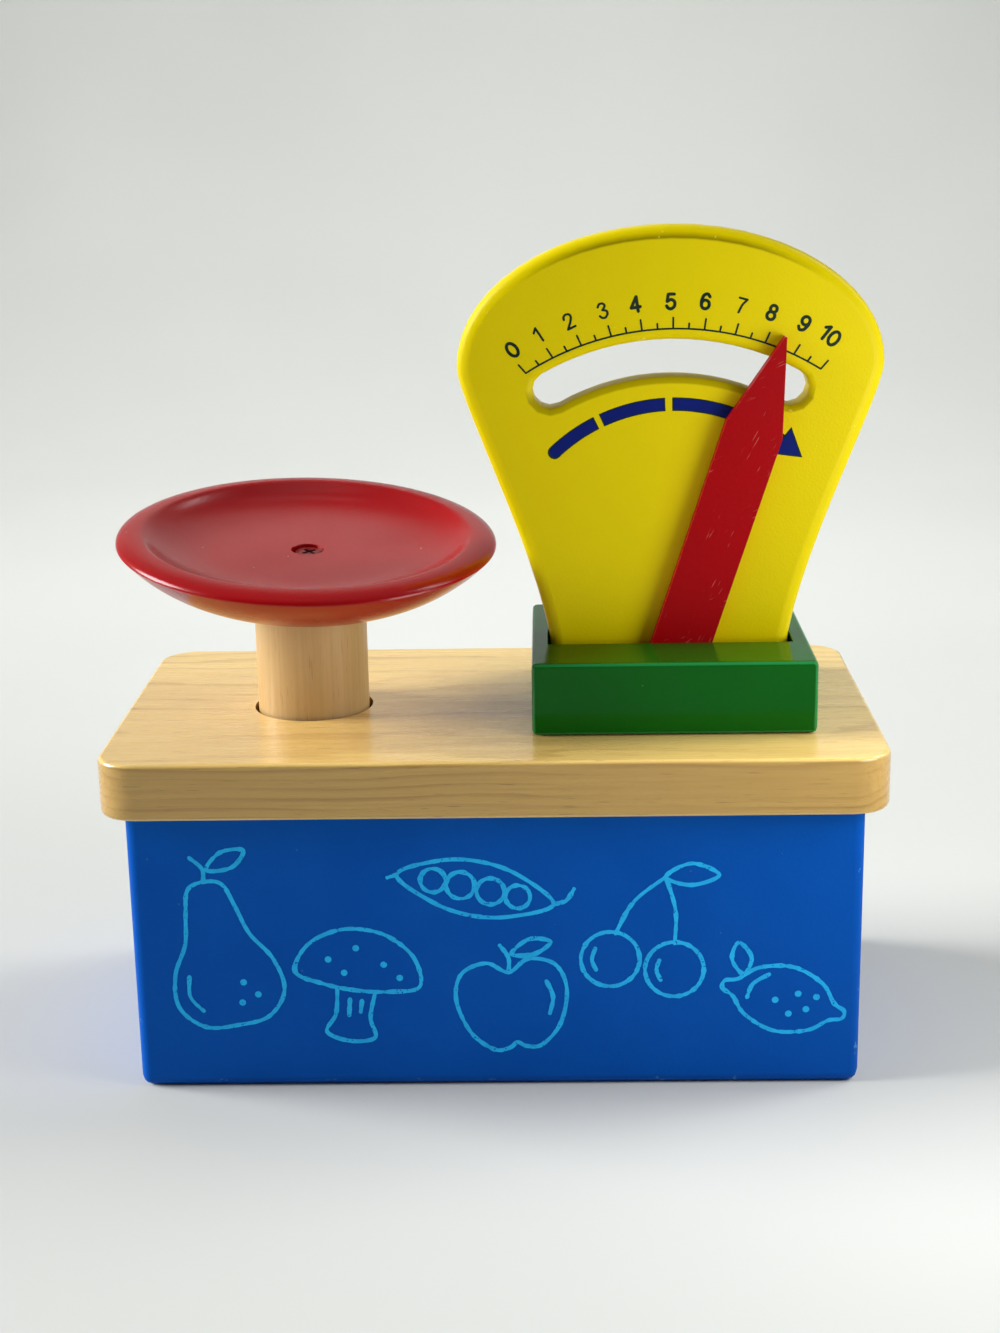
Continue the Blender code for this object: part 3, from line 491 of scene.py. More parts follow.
# its sides colour is painted shade on the board's upright faces
BOARD_WOOD = wooden(
    "varnished_board", light=(0.90, 0.64, 0.21), dark=(0.56, 0.34, 0.09),
    pore=(0.24, 0.13, 0.03), sides=(0.57, 0.49, 0.365), turn=ALONG_X, pith=(0.0, 0.03, 0.05),
    ring_width=0.0026, wander=0.014, roughness=0.3, rings=0.6, fibre=0.35,
    Specular_IOR_Level=0.4, Coat_Weight=0.55, Coat_Roughness=0.14,
)
POST_WOOD = wooden(
    "post_wood", light=(0.56, 0.37, 0.155), dark=(0.42, 0.265, 0.085),
    pore=(0.29, 0.17, 0.05), turn=ALONG_Z, pith=(0, 0.02, 0.08),
    ring_width=0.003, wander=0.008, roughness=0.42, rings=0.12, fibre=0.35,
)
BARE_WOOD = wooden(
    "bare_inner_wood", light=(0.66, 0.48, 0.28), dark=(0.48, 0.32, 0.16),
    pore=(0.3, 0.19, 0.09), turn=ALONG_X, pith=(0.0, 0.05, 0.04),
    ring_width=0.004, wander=0.012, roughness=0.6,
)
STEEL = screw_metal(
    "screw_steel", bright=(0.62, 0.62, 0.63), dull=(0.42, 0.41, 0.40), roughness=0.25
)
PAINTED_SCREW = painted(
    "painted_screw", full=(0.24, 0.003, 0.005), thin=(0.13, 0.002, 0.003),
    rubbed_and_sheen=(0.3, 0.03, 0.03), roughness=0.3, cover=0.0, peel=0.00006, Specular_IOR_Level=0.3,
)
# dark painted shade inside the screws' crosses
CROSS_SHADE = painted(
    "screw_cross_shade", full=(0.030, 0.004, 0.004), thin=(0.015, 0.002, 0.002),
    rubbed_and_sheen=(0.05, 0.01, 0.01), roughness=0.6, cover=0.0, Specular_IOR_Level=0.1,
)
DRAWING_INK = printed(
    "drawing_ink", ink=(0.02, 0.50, 0.95), under=BLUE, gaps=0.13, thin=0.2, roughness=0.45
)
SCALE_INK = printed(
    "scale_ink", ink=(0.003, 0.020, 0.013), under=YELLOW, gaps=0.3, thin=0.02, roughness=0.4
)
ARROW_INK = printed(
    "arrow_ink", ink=(0.001, 0.008, 0.13), under=(0.001, 0.010, 0.16), gaps=0.1, thin=0.5,
    roughness=0.4,
)


def plain_finishes():
    """Materials for the nodes that stay as they are, most of them inside the box."""
    for name, node in frame["nodes"].items():
        metal = any(word in name for word in ("screw", "pin", "spring")) and name != "spring_peg"
        node.data.materials.clear()
        node.data.materials.append(STEEL if metal else BARE_WOOD)


def welded(node):
    """A node's mesh to edit, with its faces joined at their points."""
    shape = bmesh.new()
    shape.from_mesh(frame["nodes"][node].data)
    bmesh.ops.remove_doubles(shape, verts=shape.verts, dist=WELD)
    return shape


def mark_edges(shape, narrow):
    """Writes 1 to the edge attribute of points that lie inside a rounded edge, and 0 elsewhere."""
    layer = shape.verts.layers.float.new("edge")
    broad = set()
    for face in shape.faces:
        longest = max(edge.calc_length() for edge in face.edges)
        if face.calc_area() / longest > narrow:
            broad.update(face.verts)
    for vert in shape.verts:
        vert[layer] = 0.0 if vert in broad else 1.0


def add_object(name, data):
    """An object in the scene, from a mesh, a lamp or a camera."""
    made = bpy.data.objects.new(name, data)
    bpy.context.scene.collection.objects.link(made)
    return made


def smooth_object(name, shape, material):
    """An object of one material, from an edited mesh."""
    mesh = bpy.data.meshes.new(name)
    shape.to_mesh(mesh)
    shape.free()
    mesh.materials.clear()
    mesh.materials.append(material)
    mesh.shade_smooth()
    return add_object(name, mesh)


def finished(name, shape, material, body, smooth=SMOOTH_ANGLE):
    """Turns an edited mesh into a piece that rides on a body, if it has one."""
    piece = smooth_object(name, shape, material)
    piece.data.set_sharp_from_angle(angle=smooth)
    if body:
        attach(piece, body)
    return piece


def cut_step(shape):
    """Cuts the small step that a rounding tool leaves along the top of the dial's face.

    The points get a painted shade value: 1 at the step's foot and lower on the window's sill, where shade
    falls.
    """
    painted_shade = shape.verts.layers.float.new("painted_shade")
    front = [face for face in shape.faces if face.normal.y < FRONT_FACING]
    inset = bmesh.ops.inset_region(
        shape, faces=front, thickness=STEP_WIDTH, use_even_offset=True, use_boundary=True
    )
    level = {vert for face in front for vert in face.verts}
    for vert in {vert for face in inset["faces"] for vert in face.verts} - level:
        share = (STEP_FADE - (DIAL_HIGH.z - vert.co.z)) / (STEP_FADE - STEP_FULL)
        vert[painted_shade] = min(max(share, 0.0), 1.0)
        vert.co.y += STEP_DEPTH * vert[painted_shade]
    shape.normal_update()
    # painted shade on the window's sill, which faces up
    for vert in shape.verts:
        if vert.normal.z > SILL_SLOPE and vert.co.z < WINDOW_TOP and abs(vert.co.x - DIAL_X) < WINDOW_HALF:
            vert[painted_shade] = SILL_SHADE


def eased(node, name, material, body, ease=0.0, segments=2, narrow=NARROW, stepped=False):
    """A smooth copy of a node, welded and with its sharp edges eased, that stands for it."""
    shape = welded(node)
    bmesh.ops.dissolve_limit(shape, angle_limit=FLAT_ANGLE, verts=shape.verts, edges=shape.edges)
    if ease:
        whole = [edge for edge in shape.edges if edge.is_manifold]
        sharp = [edge for edge in whole if edge.calc_face_angle() > SHARP_ANGLE]
        bmesh.ops.bevel(
            shape, geom=sharp, offset=ease, segments=segments, profile=0.5, affect="EDGES",
            clamp_overlap=True,
        )
    if stepped:
        cut_step(shape)
    mark_edges(shape, narrow)
    piece = finished(name, shape, material, body)
    even = piece.modifiers.new("even_shading", "WEIGHTED_NORMAL")
    even.keep_sharp = True
    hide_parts(node)


def make_box():
    """The painted walls, the varnished board and the block."""
    for side in ("front", "rear", "left_end", "right_end"):
        eased(f"{side}_panel", f"{side}_wall", BLUE_PAINT, "base", ease=EASE)
    eased("top_board", "varnished_board", BOARD_WOOD, "base", ease=EASE)
    eased(
        "dial_block", "gloss_block", GREEN_PAINT, "base", ease=BLOCK_EASE,
        segments=BLOCK_EASE_STEPS,
    )


def make_post():
    eased("post", "pan_post", POST_WOOD, "weighing_pan", ease=EASE)


def make_dial():
    """The dial and the pointer in front of it."""
    eased("dial_plate", "dial_face", YELLOW_PAINT, "base", stepped=True)
    eased(
        "pointer", "pointer_blade", RED_PAINT, "pointer_hand", ease=POINTER_EASE,
        narrow=NARROW / 2,
    )


def round_angles(count):
    return [math.tau * i / count for i in range(count)]


def around(middle, radius, angles):
    """Points at a distance from a middle, in a plane."""
    return [(middle[0] + radius * math.cos(a), middle[1] + radius * math.sin(a)) for a in angles]


def join_rings(shape, rings):
    """Faces between rings of points, where a ring may also be a single point that closes the end."""
    for first, second in zip(rings, rings[1:]):
        count = len(first)
        for i in range(count):
            k = (i + 1) % count
            far = (second[i], second[k]) if len(second) > 1 else second
            shape.faces.new((first[i], *far, first[k]))


def bend(start, start_pull, end_pull, end, count):
    """Points on a cubic curve, without its first one."""
    made = []
    for i in range(1, count + 1):
        t = i / count
        first = Vector(start).lerp(start_pull, t)
        middle = Vector(start_pull).lerp(end_pull, t)
        last = Vector(end_pull).lerp(end, t)
        made.append(first.lerp(middle, t).lerp(middle.lerp(last, t), t))
    return made


def dish_profile():
    """The dish as (radius, height) points, heights from the rim's crest."""
    floor = -DISH_DEPTH
    points = [
        Vector((DISH_HOLE_RADIUS, floor - DISH_HOLE_DEPTH)),
        Vector((DISH_HOLE_RADIUS, floor - DISH_HOLE_EASE)),
        Vector((DISH_HOLE_RADIUS + DISH_HOLE_EASE, floor)),
    ]
    for i in range(1, FLOOR_STEPS + 1):
        across = (DISH_FLOOR_RADIUS - DISH_HOLE_RADIUS) * i / FLOOR_STEPS
        points.append(Vector((DISH_HOLE_RADIUS + across, floor)))
    floor_pull, crest_pull = (DISH_WALL_PULL, floor), (RIM_RADIUS - DISH_CREST_PULL, 0)
    points += bend((DISH_FLOOR_RADIUS, floor), floor_pull, crest_pull, (RIM_RADIUS, 0), WALL_STEPS)
    for i in range(1, RIM_STEPS + 1):
        angle = math.pi / 2 * i / RIM_STEPS
        across = (EDGE_RADIUS - RIM_RADIUS) * math.sin(angle)
        points.append(Vector((RIM_RADIUS + across, -EDGE_DROP * (1 - math.cos(angle)))))
    edge, foot = Vector((EDGE_RADIUS, -EDGE_DROP)), Vector((FOOT_RADIUS, -FOOT_DROP))
    swell = Vector((edge.y - foot.y, foot.x - edge.x)).normalized() * UNDERSIDE_SWELL
    pulls = [edge.lerp(foot, share) + swell for share in (1 / 3, 2 / 3)]
    points += bend(edge, *pulls, foot, UNDERSIDE_STEPS)
    points.append(Vector((0, -FOOT_DROP)))
    return points


def make_dish():
    """The dish as one fine turning about the axis that its screw goes in along."""
    screw_points = [vert.co for vert in frame["nodes"]["pan_screw"].data.vertices]
    level = max(PAN_UP.dot(place) for place in screw_points)
    head = [place for place in screw_points if PAN_UP.dot(place) > level - TOP_BAND]
    centre = sum(head, Vector()) / len(head) + PAN_UP * (SCREW_SUNK + DISH_DEPTH)
    lay = UP.rotation_difference(PAN_UP).to_matrix()
    shape = bmesh.new()
    rings = []
    for radius, height in dish_profile():
        circle = around((0, 0), radius, round_angles(DISH_TURNS) if radius else [0.0])
        rings.append([shape.verts.new(centre + lay @ Vector((x, y, height))) for x, y in circle])
    join_rings(shape, rings)
    shape.normal_update()
    piece = finished("gloss_dish", shape, RED_GLOSS, "weighing_pan", DISH_SMOOTH_ANGLE)
    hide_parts("pan")


def cross_bar(centre, axis, side, length, width, depth):
    """A tapered bar that cuts one arm of a screw's cross."""
    across = axis.cross(side)
    corners = []
    for level, reach in ((CROSS_ABOVE * depth, length), (-depth, CROSS_TAPER * length)):
        for along, aside in ((-1, -1), (1, -1), (1, 1), (-1, 1)):
            corners.append(centre + axis * level + side * (along * reach) + across * (aside * width))
    faces = [(0, 1, 2, 3), (7, 6, 5, 4)]
    faces += [(i, i + 4, (i + 1) % 4 + 4, (i + 1) % 4) for i in range(4)]
    mesh = bpy.data.meshes.new("cross_bar")
    mesh.from_pydata(corners, [], faces)
    return add_object("cross_bar", mesh)


def cut_away(shape, bars):
    """What is left of an edited mesh when bars are cut out of it."""
    blank = bpy.data.meshes.new("screw_blank")
    shape.to_mesh(blank)
    holder = add_object("screw_blank", blank)
    for bar in bars:
        cut = holder.modifiers.new("cross", "BOOLEAN")
        cut.object = bar
    left = bpy.data.meshes.new_from_object(holder.evaluated_get(bpy.context.evaluated_depsgraph_get()))
    for helper in [holder] + bars:
        bpy.data.objects.remove(helper, do_unlink=True)
    shape.clear()
    shape.from_mesh(left)
    return shape


def cut_level(shape, axis, level):
    """Cuts a mesh off flat at a level along an axis."""
    geometry = shape.verts[:] + shape.edges[:] + shape.faces[:]
    bmesh.ops.bisect_plane(shape, geom=geometry, plane_co=axis * level, plane_no=axis, clear_outer=True)
    bmesh.ops.holes_fill(shape, edges=[edge for edge in shape.edges if edge.is_boundary])
    bmesh.ops.recalc_face_normals(shape, faces=shape.faces)


def cross_head(node, name, material, body, axis, sink=0.0):
    """A screw with a cross in its head, which faces along the axis and may sit deeper than its node's; the
    faces in the cross get a dark painted shade.
    """
    shape = welded(node)
    top = max(axis.dot(vert.co) for vert in shape.verts) - sink
    if sink:
        cut_level(shape, axis, top)
    rim = [vert.co.copy() for vert in shape.verts if axis.dot(vert.co) > top - TOP_BAND]
    centre = sum(rim, Vector()) / len(rim)
    radius = max((place - centre).length for place in rim)
    side = axis.orthogonal().normalized()
    size = [radius * share for share in (CROSS_REACH, CROSS_HALF_WIDTH, CROSS_DEPTH)]
    bars = [cross_bar(centre, axis, way, *size) for way in (side, axis.cross(side))]
    piece = finished(name, cut_away(shape, bars), material, body)
    # painted shade on the faces inside the cross
    piece.data.materials.append(CROSS_SHADE)
    for face in piece.data.polygons:
        away = face.center - centre
        depth = -axis.dot(away)
        aside = (away + axis * depth).length
        if 2 * WELD < depth < radius * SHADE_DEPTH and aside < radius * SHADE_REACH:
            face.material_index = 1
    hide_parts(node)


def make_screws():
    """The screws whose heads show: the painted one in the dish and those under the bottom."""
    cross_head(
        "pan_screw", "painted_dish_screw", PAINTED_SCREW, "weighing_pan", PAN_UP, sink=HEAD_SINK
    )
    for node in ("bottom_screw_1", "bottom_screw_2", "bottom_screw_3", "bottom_screw_4", "peg_screw"):
        cross_head(node, f"{node}_cross_head", STEEL, "base", DOWN)


def spring_route(low, high):
    """The middle of the spring's wire between two heights, as a helix with close end turns."""
    climb = (high - low - 2 * CLOSE_TURN) / (SPRING_TURNS - 2)
    points = []
    for i in range(SPRING_TURNS * SPRING_POINTS + 1):
        turn = i / SPRING_POINTS
        rise = CLOSE_TURN * (min(turn, 1) + max(turn - SPRING_TURNS + 1, 0))
        rise += climb * min(max(turn - 1, 0), SPRING_TURNS - 2)
        x, y = around((0, 0), SPRING_RADIUS, [math.tau * turn])[0]
        points.append(Vector((x, y, low + rise)))
    return points


def make_spring():
    """The spring round its peg, between the base and the pan's arm, as a fixed coil."""
    low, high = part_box("return_spring")
    peg_low, peg_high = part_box("spring_peg")
    middle = Vector(((peg_low.x + peg_high.x) / 2, (peg_low.y + peg_high.y) / 2, 0))
    half = SPRING_WIRE / 2
    upward = UP * half
    angles = round_angles(WIRE_SIDES)
    shape = bmesh.new()
    rings = []
    for core in spring_route(low.z + half, high.z - half):
        outward = Vector((core.x, core.y, 0)).normalized() * half
        places = [middle + core + outward * math.cos(a) + upward * math.sin(a) for a in angles]
        rings.append([shape.verts.new(place) for place in places])
    join_rings(shape, rings)
    shape.faces.new(rings[0])
    shape.faces.new(reversed(rings[-1]))
    bmesh.ops.recalc_face_normals(shape, faces=shape.faces)
    piece = finished("coiled_spring", shape, STEEL, None)
    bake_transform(piece)
    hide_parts("return_spring")


def on_arc(centre, radius, angle):
    """A point on an arc, with the angle from upright towards the right."""
    return Vector((centre.x + radius * math.sin(angle), centre.y + radius * math.cos(angle)))


def curve_through(points, closed):
    """A smooth line through given points."""
    count = len(points)
    made = []
    for i in range(count if closed else count - 1):
        near = [i + k for k in (-1, 0, 1, 2)]
        places = [k % count if closed else min(max(k, 0), count - 1) for k in near]
        a, b, c, d = (Vector(points[k]) for k in places)
        bow = 2 * a - 5 * b + 4 * c - d
        twist = 3 * b - a - 3 * c + d
        for k in range(CURVE_STEPS):
            t = k / CURVE_STEPS
            made.append(0.5 * (2 * b + (c - a) * t + bow * t**2 + twist * t**3))
    if not closed:
        made.append(Vector(points[-1]))
    return made


def ring(centre, wide, high=None):
    """Points round a circle or, with a height, an upright oval."""
    x, z = centre
    return [(x + wide * math.cos(a), z + (high or wide) * math.sin(a)) for a in round_angles(RING_POINTS)]


def mirrored(right):
    """A closed outline from its right half, listed from top to bottom."""
    return right + [(-x, z) for x, z in reversed(right) if x > 0]


def add_face(shape, points, y):
    """One flat printed face from (x, z) points, looking to the front."""
    verts = [shape.verts.new((x, y, z)) for x, z in points]
    face = shape.faces.new(verts)
    face.normal_update()
    if face.normal.y > 0:
        face.normal_flip()


def add_stroke(shape, points, width, y, closed=False, rough=0.0):
    """A drawn line through (x, z) points, with round ends; rough is how much its width varies."""
    points = [Vector(point) for point in points]
    count = len(points)
    sides = []
    run = 0.0
    for i, point in enumerate(points):
        before = points[i - 1] if i or closed else point
        after = points[(i + 1) % count] if i < count - 1 or closed else point
        along = (after - before).normalized()
        across = Vector((-along.y, along.x))
        run += (point - before).length
        wobble = 1.0 + rough * noise.noise(Vector((run * WOBBLE_RUN, points[0].x * WOBBLE_START, 0.0)))
        half = across * (width / 2 * wobble)
        sides.append((point + half, point - half))
    for i in range(count if closed else count - 1):
        near, far = sides[i], sides[(i + 1) % count]
        add_face(shape, (near[0], far[0], far[1], near[1]), y)
    if not closed:
        for point, other in ((points[0], points[1]), (points[-1], points[-2])):
            add_round_end(shape, point, point - other, width / 2, y)


def add_round_end(shape, point, away, radius, y):
    start = math.atan2(away.y, away.x) - math.pi / 2
    angles = [start + math.pi * i / ROUND_END_STEPS for i in range(ROUND_END_STEPS + 1)]
    add_face(shape, around(point, radius, angles), y)


# Figures as strokes on a grid ten high: straight lines, smooth lines and rounds
FIGURES = {
    "0": {"round": [((0, 5), 2.9, 4.7)]},
    "1": {"straight": [[(-1.9, 7.4), (0.7, 9.6), (0.7, 0.3)]]},
    "2": {"smooth": [[(-2.4, 7.2), (-1.7, 9), (0.2, 9.7), (2.1, 8.8), (2.4, 6.9), (1, 4.5), (-2.6, 0.5)]],
          "straight": [[(-2.6, 0.5), (2.7, 0.5)]]},
    "3": {"smooth": [[(-2.3, 7.9), (-0.9, 9.5), (1.3, 9.3), (2.1, 7.4), (0, 5.3)],
                     [(0, 5.3), (2.2, 4.3), (2.5, 2.2), (0.7, 0.4), (-1.4, 0.6), (-2.6, 2.2)]]},
    "4": {"straight": [[(1.2, 0.3), (1.2, 9.6), (-2.9, 3), (2.9, 3)]]},
    "5": {"straight": [[(2.3, 9.5), (-1.5, 9.5), (-2.2, 5)]],
          "smooth": [[(-2.2, 5), (0.3, 6.1), (2.4, 4.7), (2.4, 2), (0.5, 0.4), (-1.5, 0.7), (-2.6, 2.2)]]},
    "6": {"smooth": [[(2.3, 8.1), (0.7, 9.7), (-1.6, 8.5), (-2.6, 5), (-2.4, 2.6)]],
          "round": [((0, 3), 2.5, 2.7)]},
    "7": {"straight": [[(-2.6, 9.4), (2.6, 9.4)]], "smooth": [[(2.6, 9.4), (0.4, 5.6), (-0.7, 0.3)]]},
    "8": {"round": [((0, 7.4), 2.1, 2.2), ((0, 2.8), 2.5, 2.5)]},
    "9": {"smooth": [[(-2.3, 1.9), (-0.7, 0.3), (1.6, 1.5), (2.6, 5), (2.4, 7.4)]],
          "round": [((0, 7), 2.5, 2.7)]},
}
FIGURE_GRID = 10.0
FIGURE_PITCH = 6.6  # between the two figures of 10


def figure_lines(figure):
    """A figure's lines on its grid, each with whether it closes on itself."""
    strokes = FIGURES[figure]
    lines = [(ends, False) for line in strokes.get("straight", []) for ends in zip(line, line[1:])]
    lines += [(curve_through(line, False), False) for line in strokes.get("smooth", [])]
    lines += [(curve_through(ring(*oval), True), True) for oval in strokes.get("round", [])]
    return lines


def add_number(shape, text, centre, lean, y):
    """A number drawn with strokes, centred on a point and leaning with the scale."""
    size = FIGURE_HEIGHT / FIGURE_GRID
    turn = Matrix.Rotation(-lean, 2)
    stroke = THIN_STROKE if text in THIN_FIGURES else BOLD_STROKE
    for number, figure in enumerate(text):
        shift = Vector(((number - (len(text) - 1) / 2) * FIGURE_PITCH, -FIGURE_GRID / 2))
        for level, (line, closed) in enumerate(figure_lines(figure)):
            points = [centre + turn @ ((Vector(point) + shift) * size) for point in line]
            add_stroke(shape, points, stroke, y - level * STROKE_LIFT, closed)


def make_scale_print():
    """The baseline, ticks and figures on the dial."""
    shape = bmesh.new()
    y = DIAL_FRONT - INK_LIFT
    half = SCALE_UNITS / 2
    shares = [2 * i / BASELINE_STEPS - 1 for i in range(BASELINE_STEPS + 1)]
    baseline = [on_arc(SCALE_CENTRE, SCALE_RADIUS, SCALE_STEP * half * share) for share in shares]
    add_stroke(shape, baseline, TICK_WIDTH, y)
    for number in range(2 * SCALE_UNITS + 1):
        angle = SCALE_STEP * (number / 2 - half)
        foot = on_arc(SCALE_CENTRE, SCALE_RADIUS, angle)
        length = HALF_TICK_LENGTH if number % 2 else TICK_LENGTH
        tick = [foot, on_arc(foot, length, angle * TICK_LEAN)]
        add_stroke(shape, tick, TICK_WIDTH, y - CROSSING_LIFT)
    for number, degrees in enumerate(FIGURE_ANGLES):
        angle = math.radians(degrees)
        radius = FIGURE_RADIUS + FIGURE_CREEP * max(number - half, 0)
        add_number(shape, str(number), on_arc(SCALE_CENTRE, radius, angle), angle * TICK_LEAN, y)
    finished("scale_print", shape, SCALE_INK, "base")


def dash_outline(first, last, half, round_start):
    """A dash of the arrow between two angles, as (x, z) points."""
    angles = [first + (last - first) * i / DASH_STEPS for i in range(DASH_STEPS + 1)]
    points = [on_arc(ARROW_CENTRE, ARROW_RADIUS + half, angle) for angle in angles]
    points += [on_arc(ARROW_CENTRE, ARROW_RADIUS - half, angle) for angle in reversed(angles)]
    if round_start:
        middle = on_arc(ARROW_CENTRE, ARROW_RADIUS, first)
        for i in range(1, DASH_END_STEPS):
            points.append(on_arc(middle, half, first + math.pi + math.pi * i / DASH_END_STEPS))
    return points


def arrow_head(inset):
    """The arrow's head as three (x, z) points, smaller by an inset."""
    end = math.radians(ARROW_DASHES[-1][1])
    base = on_arc(ARROW_CENTRE, ARROW_RADIUS, end)
    ahead = Vector((math.cos(end), -math.sin(end)))
    aside = Vector((math.sin(end), math.cos(end)))
    reach = ARROW_HEAD_LENGTH - HEAD_TRIM_AHEAD * inset
    half = ARROW_HEAD_HALF - HEAD_TRIM_ASIDE * inset
    start = base + ahead * inset
    return (start + aside * half, base + ahead * reach, start - aside * half)


def make_arrow_print():
    """The dashed arrow under the window: a dark outline with blue dashes on it."""
    layers = (("arrow_outline", SCALE_INK, 0.0, 1), ("arrow_print", ARROW_INK, ARROW_OUTLINE, 2))
    for name, material, inset, level in layers:
        shape = bmesh.new()
        y = DIAL_FRONT - INK_LIFT * level
        trim = inset / ARROW_RADIUS
        for number, (first, last) in enumerate(ARROW_DASHES):
            ends = (math.radians(first) + trim, math.radians(last) - trim)
            add_face(shape, dash_outline(*ends, ARROW_WIDTH / 2 - inset, number == 0), y)
        add_face(shape, arrow_head(inset), y - CROSSING_LIFT)
        finished(name, shape, material, "base")


# Line drawings, in millimetres about their middles: closed lines, open lines and dots
PEAR = {
    "closed": [
        mirrored([(0, 20), (4.5, 18.5), (6.5, 12), (8.5, 4), (13, -4), (14, -13), (8.5, -19.5), (0, -20.5)]),
        [(1.5, 23), (6, 27), (12, 26.5), (8, 22.5)],
    ],
    "open": [[(0, 20), (0.5, 23.5), (-2, 27)], [(-9.5, -5), (-10.5, -10.5), (-8, -15)]],
    "dots": [(4, -9), (7, -13), (2.5, -14.5)],
}
MUSHROOM = {
    "closed": [mirrored([(0, 16), (8, 14.5), (15.5, 9), (18, 0.5), (9.5, -2.2), (0, -3)])],
    "open": [
        [(-5.5, -2.8), (-5, -11), (-7, -17), (0, -19), (7, -17), (5, -11), (5.5, -2.8)],
        [(-1.5, -6), (-1.2, -11)],
        [(2, -6), (2, -9.5)],
    ],
    "dots": [(-9, 5.5), (-1.5, 10), (7, 6), (12, 2.5), (-4, 2)],
}
PEA_POD = {
    "closed": [
        mirrored([(0, 9), (12, 7), (24, 0), (12, -6.5), (0, -8.5)]),
        ring((-13, 0.3), 3.8),
        ring((-4.6, 0.4), 4.3),
        ring((4.6, 0.3), 4.2),
        ring((13, 0.2), 3.7),
    ],
    "open": [[(24, 0), (27.5, 2), (29, 6)], [(-24, 0), (-26.5, -1.5)]],
}
CHERRIES = {
    "closed": [ring((-9, -9), 8.4), ring((9.5, -11), 8.4), [(5, 17), (12, 21.5), (20, 18.5), (12.5, 15)]],
    "open": [
        [(-8, -1), (-3.5, 9), (5, 17)],
        [(9, -3), (8.5, 7), (5, 17)],
        [(-13.5, -6), (-14.2, -9.5), (-12.8, -12.5)],
        [(5, -8.5), (4.4, -11.5), (5.8, -14.5)],
    ],
}
APPLE = {
    "closed": [
        mirrored([(0, 9), (6, 12.5), (13.5, 10), (16, 2), (13, -8.5), (7, -14.5), (2.5, -14.5), (0, -13)]),
        [(1.5, 14.5), (7, 18.5), (13, 17), (8, 13.8)],
    ],
    "open": [[(0, 9), (0.5, 13.5), (-1.5, 17.5)], [(10.5, 5), (11.8, 0), (10.3, -5)]],
}
LEMON = {
    "closed": [
        mirrored(
            [(0, 11.5), (10.5, 8.5), (16, 3), (20, 1.2), (20, -1.6), (16, -3.4), (10.5, -8.5), (0, -11.5)]
        ),
        [(-15, 5), (-20, 9), (-19.5, 15), (-14, 11)],
    ],
    "open": [[(-7, 7), (-11, 2.5), (-11.5, -2.5)]],
    "dots": [(4, 3), (8, -1.5), (3, -4.5), (-2.5, -1), (10, 3.5)],
}
DRAWINGS = (  # drawing, place across and up the front in millimetres, lean in degrees, size
    (PEAR, -71, 38, -10, 1.0),
    (MUSHROOM, -36, 30, 8, 0.9),
    (PEA_POD, -5, 55, 12, 0.85),
    (APPLE, 4, 24, -6, 0.9),
    (CHERRIES, 38, 43, 4, 0.9),
    (LEMON, 74, 24, 16, 0.8),
)


def add_drawing(shape, drawing, across, up, lean, size):
    """One line drawing at its place on the front wall."""
    y = WALL_FRONT - INK_LIFT
    turn = Matrix.Rotation(-math.radians(lean), 2)
    middle = Vector((across, up))

    def placed(point):
        return (turn @ Vector(point) * size + middle) * MM

    lines = [(line, True) for line in drawing["closed"]] + [(line, False) for line in drawing["open"]]
    for level, (line, closed) in enumerate(lines):
        points = [placed(point) for point in curve_through(line, closed)]
        add_stroke(shape, points, LINE_WIDTH, y - level * STROKE_LIFT, closed, LINE_ROUGH)
    for dot in drawing.get("dots", []):
        add_face(shape, around(placed(dot), DOT_RADIUS, round_angles(DOT_SIDES)), y)


def make_front_drawings():
    """Fruit and vegetables in light lines on the front wall."""
    shape = bmesh.new()
    for drawing in DRAWINGS:
        add_drawing(shape, *drawing)
    finished("front_drawings", shape, DRAWING_INK, "base")


# Camera, fitted to the photograph
PHOTO_HEIGHT = 1333
FOCAL_PIXELS = 2075.24
SENSOR = 36.0
CLIP_START = 0.01
CAMERA_PLACE = (0.01442, -0.54330, 0.25144)
CAMERA_YAW, CAMERA_PITCH, CAMERA_ROLL = -0.0244, 0.2713, -0.0179  # radians

# Backdrop: a floor that bends up into a wall
FLOOR_HALF, WALL_HALF = 9.0, 3.0
FLOOR_BACK = 0.9
BEND_RADIUS = 0.5
BEND_STEPS = 12
WALL_TOP = 2.2

# Sky, dim at the front and below, and brighter at the back and above, with a glow along the skyline
SKY_COLOUR = (0.92, 0.96, 1.0)
SKY_LOW, SKY_HIGH = -0.5, 1.4
SKY_DIM, SKY_BRIGHT = 0.03, 0.3
GLOW_HALF, GLOW_END = 0.04, 0.2
GLOW_STRENGTH = 0.5


def make_camera():
    """The camera where the photograph was taken from."""
    flat = math.cos(CAMERA_PITCH)
    ahead = Vector((math.sin(CAMERA_YAW) * flat, math.cos(CAMERA_YAW) * flat, -math.sin(CAMERA_PITCH)))
    level = Vector((math.cos(CAMERA_YAW), -math.sin(CAMERA_YAW), 0))
    upward = level.cross(ahead)
    right = math.cos(CAMERA_ROLL) * level + math.sin(CAMERA_ROLL) * upward
    top = -math.sin(CAMERA_ROLL) * level + math.cos(CAMERA_ROLL) * upward
    lens = bpy.data.cameras.new("photo_camera")
    lens.sensor_width = SENSOR
    lens.lens = FOCAL_PIXELS / PHOTO_HEIGHT * SENSOR
    lens.clip_start = CLIP_START
    camera = add_object("photo_camera", lens)
    turn = Matrix((right, top, -ahead)).transposed().to_4x4()
    camera.matrix_world = Matrix.Translation(CAMERA_PLACE) @ turn
    bpy.context.scene.camera = camera


